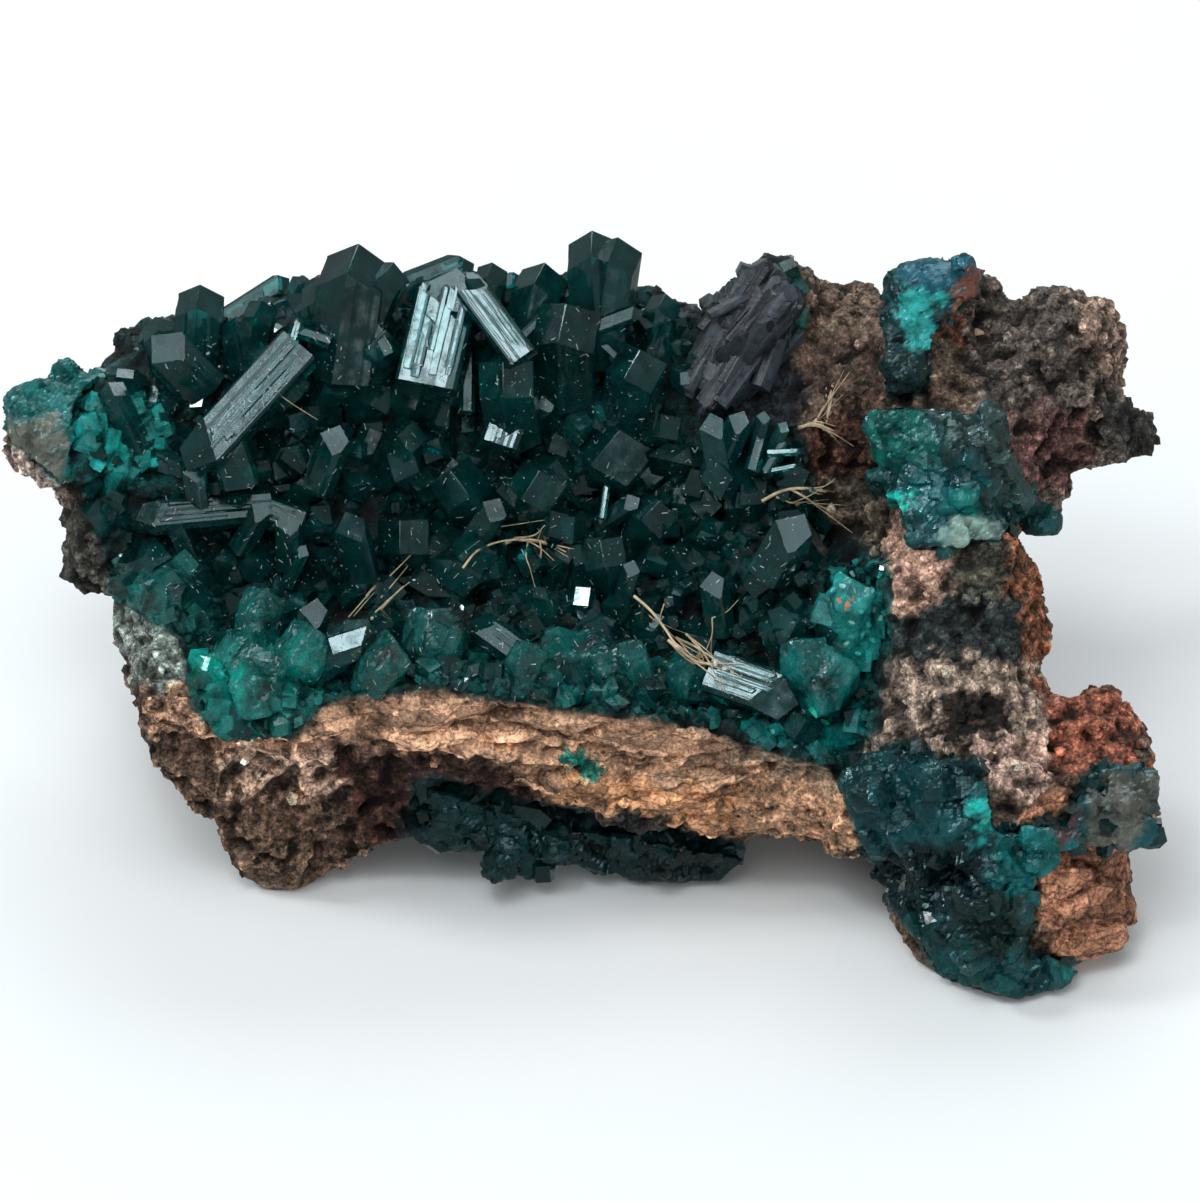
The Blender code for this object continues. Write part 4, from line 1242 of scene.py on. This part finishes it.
CRUSTS = [
    Crust("left_crust", "left_cap", "teal_cap", linear(20, 104, 100), 0.35, 1.3, [
        Zone([(0, 420), (60, 415), (70, 500), (0, 500)], linear(120, 120, 108), 8),
    ]),
    Crust("knob_crust", "knob_patch", "blue_green_crust", linear(28, 60, 62), 0.2, 1.1, [
        Zone([(878, 340), (975, 342), (980, 415), (878, 415)], linear(24, 40, 40), 8),
        Zone([(890, 255), (992, 255), (992, 290), (930, 290), (900, 296)], linear(26, 84, 100), 8),
        Zone([(894, 292), (925, 284), (940, 300), (926, 314), (936, 342), (915, 345), (896, 318)],
             linear(50, 166, 162), 6),
        Zone([(948, 285), (1000, 262), (1000, 335), (952, 328)], linear(116, 70, 56), 6),
        Zone([(956, 302), (972, 302), (970, 318), (957, 316)], linear(196, 130, 84), 4),
    ]),
    Crust("right_crust", "right_patch", "glassy_teal", linear(22, 70, 70), 0.5, 3.0, [
        Zone([(866, 405), (920, 402), (938, 452), (900, 470), (872, 460)], linear(18, 106, 96), 8),
        Zone([(935, 415), (1040, 400), (1045, 500), (1005, 505), (960, 462)], linear(60, 78, 74), 10),
        Zone([(890, 465), (988, 468), (995, 535), (925, 530)], linear(14, 96, 100), 12),
        Zone([(960, 490), (984, 490), (984, 524), (962, 524)], linear(8, 128, 118), 12),
        Zone([(899, 482), (914, 485), (911, 507), (900, 504)], linear(20, 214, 190), 4),
        Zone([(945, 518), (1000, 515), (994, 548), (945, 545)], linear(150, 176, 164), 8),
    ]),
    Crust("lower_crust", "lower_druse", "lower_dioptase", linear(20, 74, 77), 0.45, 3.0, [
        Zone([(835, 735), (868, 735), (872, 815), (838, 805)], linear(18, 60, 62), 8),
        Zone([(985, 822), (1060, 815), (1092, 862), (1030, 905), (985, 890)], linear(22, 116, 116), 10),
        Zone([(975, 805), (1042, 790), (1032, 826), (975, 832)], linear(16, 184, 172), 6),
        Zone([(878, 850), (978, 838), (985, 905), (880, 925)], linear(14, 32, 36), 10),
        Zone([(950, 895), (1038, 890), (1030, 950), (955, 960)], linear(36, 56, 52), 8),
        Zone([(895, 925), (1000, 960), (1045, 1015), (950, 1000)], linear(14, 74, 74), 10),
        Zone([(1058, 960), (1105, 955), (1080, 990)], linear(20, 132, 120), 8),
        Zone([(1042, 810), (1078, 812), (1066, 838), (1046, 832)], linear(116, 74, 78), 8),
        Zone([(1085, 770), (1170, 780), (1125, 845), (1080, 862)], linear(104, 102, 92), 8),
    ]),
    Crust("underside_crust", "underside_druse", "shaded_dioptase", linear(10, 50, 52), 0.55, 2.6, [
        Zone([(640, 850), (800, 830), (700, 905), (640, 890)], linear(26, 34, 34), 10),
    ]),
]


CRUST_CELL = 0.32 * MM


def facets(point, size):
    """A height that is a tilted plane in each cell, as where many crystals end at odd angles."""
    place = point / size
    near, seeds = noise.voronoi(place)
    tilt = noise.cell_vector(seeds[0] * 13.7) - Vector((0.5, 0.5, 0.5))
    return tilt.dot(place - seeds[0]) * 1.4 + noise.cell(seeds[0] * 5.1) * 0.35


def crust_heights(points, size):
    heights = np.zeros(len(points))
    for i, co in enumerate(points):
        p = Vector(co)
        heights[i] = facets(p, size * MM) * size * 0.3 + facets(p, size * 0.42 * MM) * size * 0.11
        heights[i] += noise.noise(p / (0.45 * MM)) * 0.06
    return heights * MM


class DIOPTASE_OT_crusts(bpy.types.Operator):
    """Builds the glassy crusts"""

    bl_idname = "dioptase.crusts"
    bl_label = "Crusts"

    def execute(self, context):
        props = context.scene.dioptase_crystals
        for crust in CRUSTS:
            obj = fine_copy(crust.node, crust.piece, CRUST_CELL, 3)
            mesh = obj.data
            points, normals = positions(mesh), normals_of(mesh)
            low = np.clip(points[:, 2] / (1.5 * MM), 0, 1)
            back = np.clip(1.2 + normals @ np.array(OUT) * 1.6, 0.15, 1)
            heights = crust_heights(points, crust.facet) * low * back
            colours, _ = zoned(points, normals, crust.zones, crust.colour)
            # painted shade: low places of the crust darker, raised facets lighter
            shade = np.clip(1 + heights / (0.5 * MM) * 0.5, 0.45, 1.6)
            push(mesh, points, normals, heights)
            colour_points(mesh, "tint", np.clip(colours * shade[:, None], 0, 1))
            mesh.update()
            mesh.materials.append(crust_material(crust, props))
            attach(obj, "root")
            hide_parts(crust.node)
        return {"FINISHED"}


# The grains


GRAIN_COUNT = 9000


def grain_shapes(chance):
    """Angular grains of width 2."""
    for _ in range(6):
        bm = bmesh.new()
        bmesh.ops.create_icosphere(bm, subdivisions=1, radius=1)
        for vert in bm.verts:
            vert.co *= chance.uniform(0.65, 1.15)
        bmesh.ops.scale(bm, verts=bm.verts, vec=(1, chance.uniform(0.7, 1), chance.uniform(0.6, 0.9)))
        yield shape_of(bm)


class DIOPTASE_OT_grains(bpy.types.Operator):
    """Builds the loose grains that make the rock's surface rough"""

    bl_idname = "dioptase.grains"
    bl_label = "Grains"

    def execute(self, context):
        chance = random.Random(41)
        mesh = bpy.data.objects["rock"].data
        tones = np.empty(len(mesh.vertices) * 4, np.float32)
        mesh.color_attributes["tone"].data.foreach_get("color", tones)
        tones = tones.reshape(-1, 4)
        faces = [f for f in mesh.polygons if tones[f.vertices[0], 3] > 0.4 and f.center.z > 1 * MM]
        weights = [f.area * (0.15 if tones[f.vertices[0], 3] < 0.7 else 1) for f in faces]
        shapes = list(grain_shapes(chance))
        gathered = Gathered()
        for face in chance.choices(faces, weights=weights, k=GRAIN_COUNT):
            shape, parts, _ = chance.choice(shapes)
            size = (0.14 + 0.56 * chance.random() ** 3) * MM
            upright = face.normal.to_track_quat("Z", "Y").to_matrix()
            turned = np.array(upright @ Matrix.Rotation(chance.uniform(0, 6.28), 3, "Z"))
            at = np.array(face.center - face.normal * size * 0.15)
            tone = tones[face.vertices[0], :3] * chance.uniform(0.4, 1.9)
            gathered.add(shape * size @ turned.T + at, parts, tuple(np.clip(tone, 0, 1)))
        obj = gathered.finish("grains", "tone", rock_material("rock_grains"))
        return {"FINISHED"}


# The dark slab


SLAB_OUTLINE = [
    (684, 412), (690, 350), (705, 305), (738, 268), (770, 262), (806, 290), (806, 330), (800, 400),
    (745, 412),
]
SLAB_TURN = 34
SLAB_BLADES = 460


class DIOPTASE_OT_slab(bpy.types.Operator):
    """Builds the splintered blades of the dark slab at the right of the hollow"""

    bl_idname = "dioptase.slab"
    bl_label = "Dark slab"

    def execute(self, context):
        props = context.scene.dioptase_crystals
        tree = tree_of("matrix")
        chance = random.Random(51)
        blades, crown = Builder(), Builder()
        for _ in range(SLAB_BLADES):
            col, row = chance.uniform(680, 810), chance.uniform(262, 420)
            hit, normal = surface_at(tree, col, row)
            if hit is None or soft_inside(np.array([col]), np.array([row]), SLAB_OUTLINE, 1)[0] < 0.5:
                continue
            axis = pointing(SLAB_TURN + chance.gauss(0, 4), 0)
            axis = (axis - normal * axis.dot(normal)).normalized()
            radius = chance.uniform(4, 15) * PIXEL
            length = chance.uniform(60, 150) * PIXEL
            ends = in_view(np.array([hit - axis * length * 0.5, hit + axis * length * 0.5]))
            if soft_inside(*ends, SLAB_OUTLINE, 12).min() < 0.3:
                continue
            bm = grooved_prism(radius, length, 3, radius * 0.12, chance, 0.8)
            grey = chance.uniform(0.2, 1.6)
            tint = tuple(c * grey for c in linear(46, 52, 58))
            edge = Matrix.Rotation(math.radians(30 + chance.gauss(0, 8)), 3, axis) @ normal
            blades.take(placed(bm, hit - axis * length * 0.5 - normal * radius * 0.5, axis, edge), tint)
        for col, row, size, tone in SLAB_CROWN:
            hit, normal = surface_at(tree, col, row)
            if hit is None:
                raise RuntimeError(f"no rock below the crown at {col}, {row}")
            axis = (normal + OUT * 0.4 + Vector([chance.gauss(0, 0.3) for _ in range(3)])).normalized()
            radius = size * PIXEL / 2
            bm = grooved_prism(radius, radius * 1.6, 2, radius * 0.05, chance)
            crown.take(placed(bm, hit - axis * radius * 0.6, axis, axis.orthogonal()), tone)
        for name, whole, material in (
            ("slab_blades", blades, slab_material()),
            ("slab_crown", crown, milky_dioptase(props)),
        ):
            obj = whole.finish(name)
            obj.data.materials.append(material)
            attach(obj, "root")
        return {"FINISHED"}


CROWN_GREY = linear(110, 124, 120)
CROWN_TEAL = linear(50, 116, 106)
SLAB_CROWN = [
    (708, 304, 22, CROWN_GREY),
    (720, 298, 18, CROWN_GREY),
    (744, 270, 20, CROWN_GREY),
    (762, 268, 24, CROWN_GREY),
    (776, 274, 22, CROWN_GREY),
    (790, 270, 26, CROWN_TEAL),
    (798, 286, 24, CROWN_TEAL),
    (786, 290, 20, CROWN_GREY),
    (774, 296, 22, CROWN_GREY),
    (790, 306, 22, CROWN_TEAL),
    (800, 318, 26, CROWN_TEAL),
    (782, 320, 20, CROWN_GREY),
]


# The rootlets


class Strand(NamedTuple):
    """A rootlet or fibre: the columns and rows that it passes, its thickness in millimetres and the
    number of hairs that fray from it."""

    path: list
    thickness: float
    hairs: int


STRANDS = [
    # the rootlet across the middle
    Strand([(463, 568), (476, 552), (492, 544), (512, 540), (542, 541), (566, 552)], 0.2, 1),
    Strand([(505, 543), (520, 538), (541, 541)], 0.36, 3),
    Strand([(528, 542), (526, 556), (530, 568), (533, 580)], 0.14, 1),
    Strand([(540, 541), (541, 556), (534, 572)], 0.14, 1),
    Strand([(538, 540), (541, 530)], 0.14, 0),
    Strand([(470, 531), (505, 526), (545, 520)], 0.1, 0),
    Strand([(270, 388), (294, 405), (318, 420)], 0.09, 0),
    # the tufts in the valley
    Strand([(762, 501), (782, 491), (803, 488), (826, 492)], 0.3, 5),
    Strand([(790, 489), (806, 498), (822, 510)], 0.24, 4),
    Strand([(776, 497), (792, 503), (808, 502)], 0.2, 3),
    Strand([(798, 428), (815, 424), (834, 431)], 0.3, 4),
    Strand([(812, 426), (822, 410), (830, 394), (834, 384)], 0.3, 4),
    Strand([(824, 430), (828, 414), (832, 398)], 0.3, 2),
    # the frayed root
    Strand([(634, 596), (650, 610), (663, 626), (674, 642), (690, 658), (708, 672)], 0.26, 3),
    Strand([(639, 606), (652, 618), (668, 630)], 0.14, 1),
    Strand([(664, 604), (660, 620), (668, 634)], 0.12, 0),
    Strand([(668, 640), (682, 652), (698, 662), (712, 664)], 0.3, 5),
    Strand([(676, 638), (694, 646), (712, 656)], 0.26, 4),
    Strand([(686, 634), (700, 648), (710, 662)], 0.22, 4),
    Strand([(712, 618), (712, 634), (706, 650)], 0.14, 1),
    Strand([(712, 618), (726, 612), (738, 600)], 0.1, 0),
    # the golden fibres
    Strand([(349, 617), (362, 602), (376, 586)], 0.14, 0),
    Strand([(354, 616), (366, 602), (374, 593)], 0.1, 0),
    Strand([(372, 619), (386, 604), (404, 586)], 0.26, 0),
    Strand([(376, 612), (392, 597), (410, 582)], 0.14, 0),
    Strand([(381, 598), (394, 583), (408, 566)], 0.12, 0),
    Strand([(390, 576), (400, 566), (411, 555)], 0.14, 0),
    Strand([(366, 596), (374, 586), (380, 578)], 0.1, 0),
]


def frayed(path, hairs, chance):
    """The path itself, and finer hairs that leave it and stray a little."""
    yield path, 1
    for _ in range(hairs):
        first = chance.randrange(len(path) - 1)
        drift = np.array((chance.gauss(0, 4), chance.gauss(0, 4)))
        part = [tuple(np.array(p) + drift * i) for i, p in enumerate(path[first:])]
        if len(part) < 3:
            part.append(tuple(np.array(part[-1]) * 2 - np.array(part[-2]) + drift))
        yield part, chance.uniform(0.3, 0.55)


def strand(path, thickness):
    """A tapering tube along the points."""
    curve = bpy.data.curves.new("strand", "CURVE")
    curve.dimensions = "3D"
    curve.bevel_depth = thickness / 2
    curve.bevel_resolution = 2
    curve.use_fill_caps = True
    spline = curve.splines.new("POLY")
    spline.points.add(len(path) - 1)
    for i, (point, co) in enumerate(zip(spline.points, path)):
        point.co = (*co, 1)
        point.radius = 1 - 0.55 * i / (len(path) - 1)
    obj = bpy.data.objects.new("strand", curve)
    bpy.context.scene.collection.objects.link(obj)
    graph = bpy.context.evaluated_depsgraph_get()
    mesh = bpy.data.meshes.new_from_object(obj.evaluated_get(graph))
    bpy.data.objects.remove(obj)
    return mesh


def smooth_path(points, parts=5):
    """More points along a path, on a smooth curve through it."""
    found = []
    ends = [points[0] * 2 - points[1], *points, points[-1] * 2 - points[-2]]
    for a, b, c, d in zip(ends, ends[1:], ends[2:], ends[3:]):
        for i in range(parts):
            t = i / parts
            found.append(0.5 * ((2 * b) + (c - a) * t + (2 * a - 5 * b + 4 * c - d) * t ** 2
                                + (3 * b - a - 3 * c + d) * t ** 3))
    return [*found, points[-1]]


LAID_ON = ("rock", "large_crystals", "teal_masses", "hollow_crystals", "hollow_points", "teal_crystals")


def surface_tree():
    """The surface of everything that is built so far, for laying things on it."""
    bm = bmesh.new()
    for obj in bpy.data.objects:
        if obj.type == "MESH" and obj.name in LAID_ON:
            bm.from_mesh(obj.data)
    tree = BVHTree.FromBMesh(bm)
    bm.free()
    return tree


def lie(tree, path):
    """The points of a strand that lies on what is below it and bridges its hollows."""
    hits = [surface_at(tree, col, row)[0] for col, row in path]
    heights = [hit.dot(OUT) for hit in hits]
    found = []
    for (col, row), hit in zip(path, hits):
        reach = max(h - 0.35 * (hit - other).length for h, other in zip(heights, hits))
        found.append(hit + OUT * (reach - hit.dot(OUT) + 0.12 * MM))
    return found


STRAW = linear(206, 186, 156)
TURQUOISE = linear(60, 214, 204)
PALE_TEAL = linear(150, 206, 196)
FLAKES = [
    # column, row, width in columns, colour
    (715, 663, 11, linear(220, 224, 222)),
    (724, 668, 8, linear(220, 224, 222)),
    (732, 672, 7, linear(214, 220, 218)),
    (822, 424, 11, STRAW),
    (830, 412, 9, STRAW),
    (834, 400, 7, STRAW),
    (797, 504, 10, STRAW),
    (700, 656, 12, linear(190, 140, 104)),
    (692, 662, 10, linear(176, 124, 90)),
    (704, 666, 10, linear(196, 150, 112)),
    (978, 332, 16, linear(206, 170, 132)),
    (838, 600, 9, linear(196, 142, 100)),
    (846, 606, 12, linear(206, 150, 110)),
    (852, 598, 9, linear(196, 136, 100)),
    (860, 612, 9, TURQUOISE),
    (868, 624, 12, TURQUOISE),
    (862, 634, 14, TURQUOISE),
    (872, 640, 9, TURQUOISE),
    (832, 590, 10, TURQUOISE),
    (842, 586, 12, PALE_TEAL),
    (852, 574, 10, PALE_TEAL),
    (866, 590, 10, PALE_TEAL),
    (874, 608, 12, PALE_TEAL),
    (850, 622, 9, PALE_TEAL),
    (880, 618, 10, PALE_TEAL),
    (846, 644, 10, PALE_TEAL),
    (858, 654, 9, TURQUOISE),
    (813, 712, 16, linear(24, 190, 160)),
    (824, 722, 12, linear(24, 190, 160)),
    (216, 668, 10, TURQUOISE),
    (224, 674, 8, TURQUOISE),
    (414, 580, 4, linear(240, 240, 236)),
]
DUST_COUNT = 1500
DUST_OUTLINE = [
    (150, 340), (640, 300), (690, 420), (800, 440), (860, 600), (800, 720), (230, 690), (130, 520),
]


class DIOPTASE_OT_rootlets(bpy.types.Operator):
    """Builds the dry rootlets and fibres caught between the crystals, and the pale dust on them"""

    bl_idname = "dioptase.rootlets"
    bl_label = "Rootlets"

    def execute(self, context):
        tree = surface_tree()
        chance = random.Random(61)
        bm = bmesh.new()
        for s in STRANDS:
            for path, share in frayed(s.path, s.hairs, chance):
                bm.from_mesh(strand(smooth_path(lie(tree, path)), s.thickness * share * MM))
        obj = new_object("rootlets", mesh_of(bm, "rootlets"))
        obj.data.materials.append(straw_material())
        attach(obj, "root")
        bm = bmesh.new()
        bmesh.ops.create_cube(bm, size=1)
        shape, faces, _ = shape_of(bm)
        gathered = Gathered()
        while len(gathered.points) < DUST_COUNT:
            col, row = chance.uniform(130, 860), chance.uniform(300, 720)
            if soft_inside(np.array([col]), np.array([row]), DUST_OUTLINE, 1)[0] < 0.5:
                continue
            hit, normal = surface_at(tree, col, row)
            if hit is None:
                continue
            across = normal.orthogonal().normalized()
            across = Matrix.Rotation(chance.uniform(0, 6.28), 3, normal) @ across
            turned = np.array(Matrix((across, normal.cross(across), normal)).transposed())
            long = (0.07 + 0.55 * chance.random() ** 4) * MM
            size = np.array((long, 0.06 * MM, 0.03 * MM))
            tone = varied(linear(176, 190, 188), chance, 0.5)
            gathered.add(shape * size @ turned.T + np.array(hit), faces, tone)
        grains = list(grain_shapes(chance))
        for col, row, width, tone in FLAKES:
            hit, normal = surface_at(tree, col, row)
            shape, faces, _ = chance.choice(grains)
            upright = normal.to_track_quat("Z", "Y").to_matrix()
            turned = np.array(upright @ Matrix.Rotation(chance.uniform(0, 6.28), 3, "Z"))
            size = np.array((1, 0.75, 0.5)) * width * PIXEL / 2
            gathered.add(shape * size @ turned.T + np.array(hit), faces, tone)
        dust = gathered.finish("dust", "tone", dust_material())
        return {"FINISHED"}


# The stage


def aimed(obj, target):
    obj.rotation_mode = "QUATERNION"
    obj.rotation_quaternion = (target - obj.location).to_track_quat("-Z", "Y")


LENS, SENSOR = 900, 36
PICTURE_ROWS = 1201


def area_light(name, way, distance, size, power, target):
    light = bpy.data.lights.new(name, "AREA")
    light.shape = "SQUARE"
    light.size = size
    light.energy = power
    light.color = (0.9, 0.97, 1.0)
    obj = bpy.data.objects.new(name, light)
    bpy.context.scene.collection.objects.link(obj)
    obj.location = target + way.normalized() * distance
    aimed(obj, target)
    return obj


class DIOPTASE_OT_stage(bpy.types.Operator):
    """Builds the floor, the lights and the camera"""

    bl_idname = "dioptase.stage"
    bl_label = "Stage"

    def execute(self, context):
        props = context.scene.dioptase_stage
        bm = bmesh.new()
        bmesh.ops.create_grid(bm, x_segments=1, y_segments=1, size=4)
        floor = new_object("floor", mesh_of(bm, "floor"))
        floor.location.z = -0.02 * MM
        n = Nodes("floor")
        n.link(n.mix(tuple(props.floor), (0.95, 0.95, 0.95), n.noise(3)), n.shader.inputs["Base Color"])
        n.set(Roughness=0.9)
        floor.data.materials.append(n.material)
        floor.visible_glossy = False
        middle = seen_at(600, 600, -8)
        key = 2 * BRIGHT.dot(OUT) * BRIGHT - OUT
        area_light("key", key, 0.6, 0.5, props.key, middle)
        area_light("glint", key, 0.55, 0.1, 0.3, middle)
        area_light("rake", VIEW_AXES @ Vector((-0.75, 0.55, 0.35)), 0.7, 0.12, 1.6, middle)
        area_light("back", Vector((0.15, 0.75, 0.65)), 0.7, 0.5, 2.2, middle)
        soft = [
            area_light("fill", VIEW_AXES @ Vector((0.35, -0.5, 0.8)), 0.8, 0.4, 1.5, middle),
            area_light("side", VIEW_AXES @ Vector((0.9, 0.1, 0.5)), 0.8, 0.5, 0.9, middle),
        ]
        for light in soft:
            light.visible_glossy = False
        world = bpy.data.worlds.new("studio")
        context.scene.world = world
        world.use_nodes = True
        world.node_tree.nodes["Background"].inputs["Color"].default_value = (0.95, 0.98, 1, 1)
        world.node_tree.nodes["Background"].inputs["Strength"].default_value = 0.25
        context.scene.view_settings.view_transform = "Standard"
        camera = bpy.data.cameras.new("camera")
        camera.sensor_width = SENSOR
        camera.lens = LENS
        camera.clip_end = 50
        obj = bpy.data.objects.new("camera", camera)
        context.scene.collection.objects.link(obj)
        obj.location = seen_at(600, 600.5, -8) + OUT * (PICTURE_ROWS * PIXEL * LENS / SENSOR)
        obj.rotation_mode = "QUATERNION"
        obj.rotation_quaternion = (-OUT).to_track_quat("-Z", "Y")
        context.scene.camera = obj
        return {"FINISHED"}


class DIOPTASE_PT_panel(bpy.types.Panel):
    bl_idname = "DIOPTASE_PT_panel"
    bl_label = "Dioptase"
    bl_space_type = "VIEW_3D"
    bl_region_type = "UI"
    bl_category = "Dioptase"

    def draw(self, context):
        for group_name in GROUPS:
            group = getattr(context.scene, group_name)
            for name in group.__annotations__:
                self.layout.prop(group, name)
        for operator in OPERATORS:
            self.layout.operator(operator.bl_idname)


OPERATORS = (
    DIOPTASE_OT_rock,
    DIOPTASE_OT_large_crystals,
    DIOPTASE_OT_small_crystals,
    DIOPTASE_OT_crusts,
    DIOPTASE_OT_grains,
    DIOPTASE_OT_slab,
    DIOPTASE_OT_rootlets,
    DIOPTASE_OT_stage,
)
GROUPS = {
    "dioptase_rock": DIOPTASE_PG_rock,
    "dioptase_crystals": DIOPTASE_PG_crystals,
    "dioptase_stage": DIOPTASE_PG_stage,
}


def register():
    for group in GROUPS.values():
        bpy.utils.register_class(group)
    for operator in OPERATORS:
        bpy.utils.register_class(operator)
    bpy.utils.register_class(DIOPTASE_PT_panel)
    for name, group in GROUPS.items():
        setattr(bpy.types.Scene, name, PointerProperty(type=group))


def unregister():
    for name in GROUPS:
        delattr(bpy.types.Scene, name)
    bpy.utils.unregister_class(DIOPTASE_PT_panel)
    for operator in reversed(OPERATORS):
        bpy.utils.unregister_class(operator)
    for group in GROUPS.values():
        bpy.utils.unregister_class(group)


def main():
    register()
    bpy.ops.dioptase.rock()
    bpy.ops.dioptase.large_crystals()
    bpy.ops.dioptase.small_crystals()
    bpy.ops.dioptase.crusts()
    bpy.ops.dioptase.grains()
    bpy.ops.dioptase.slab()
    bpy.ops.dioptase.rootlets()
    bpy.ops.dioptase.stage()


if __name__ == "__main__":
    main()
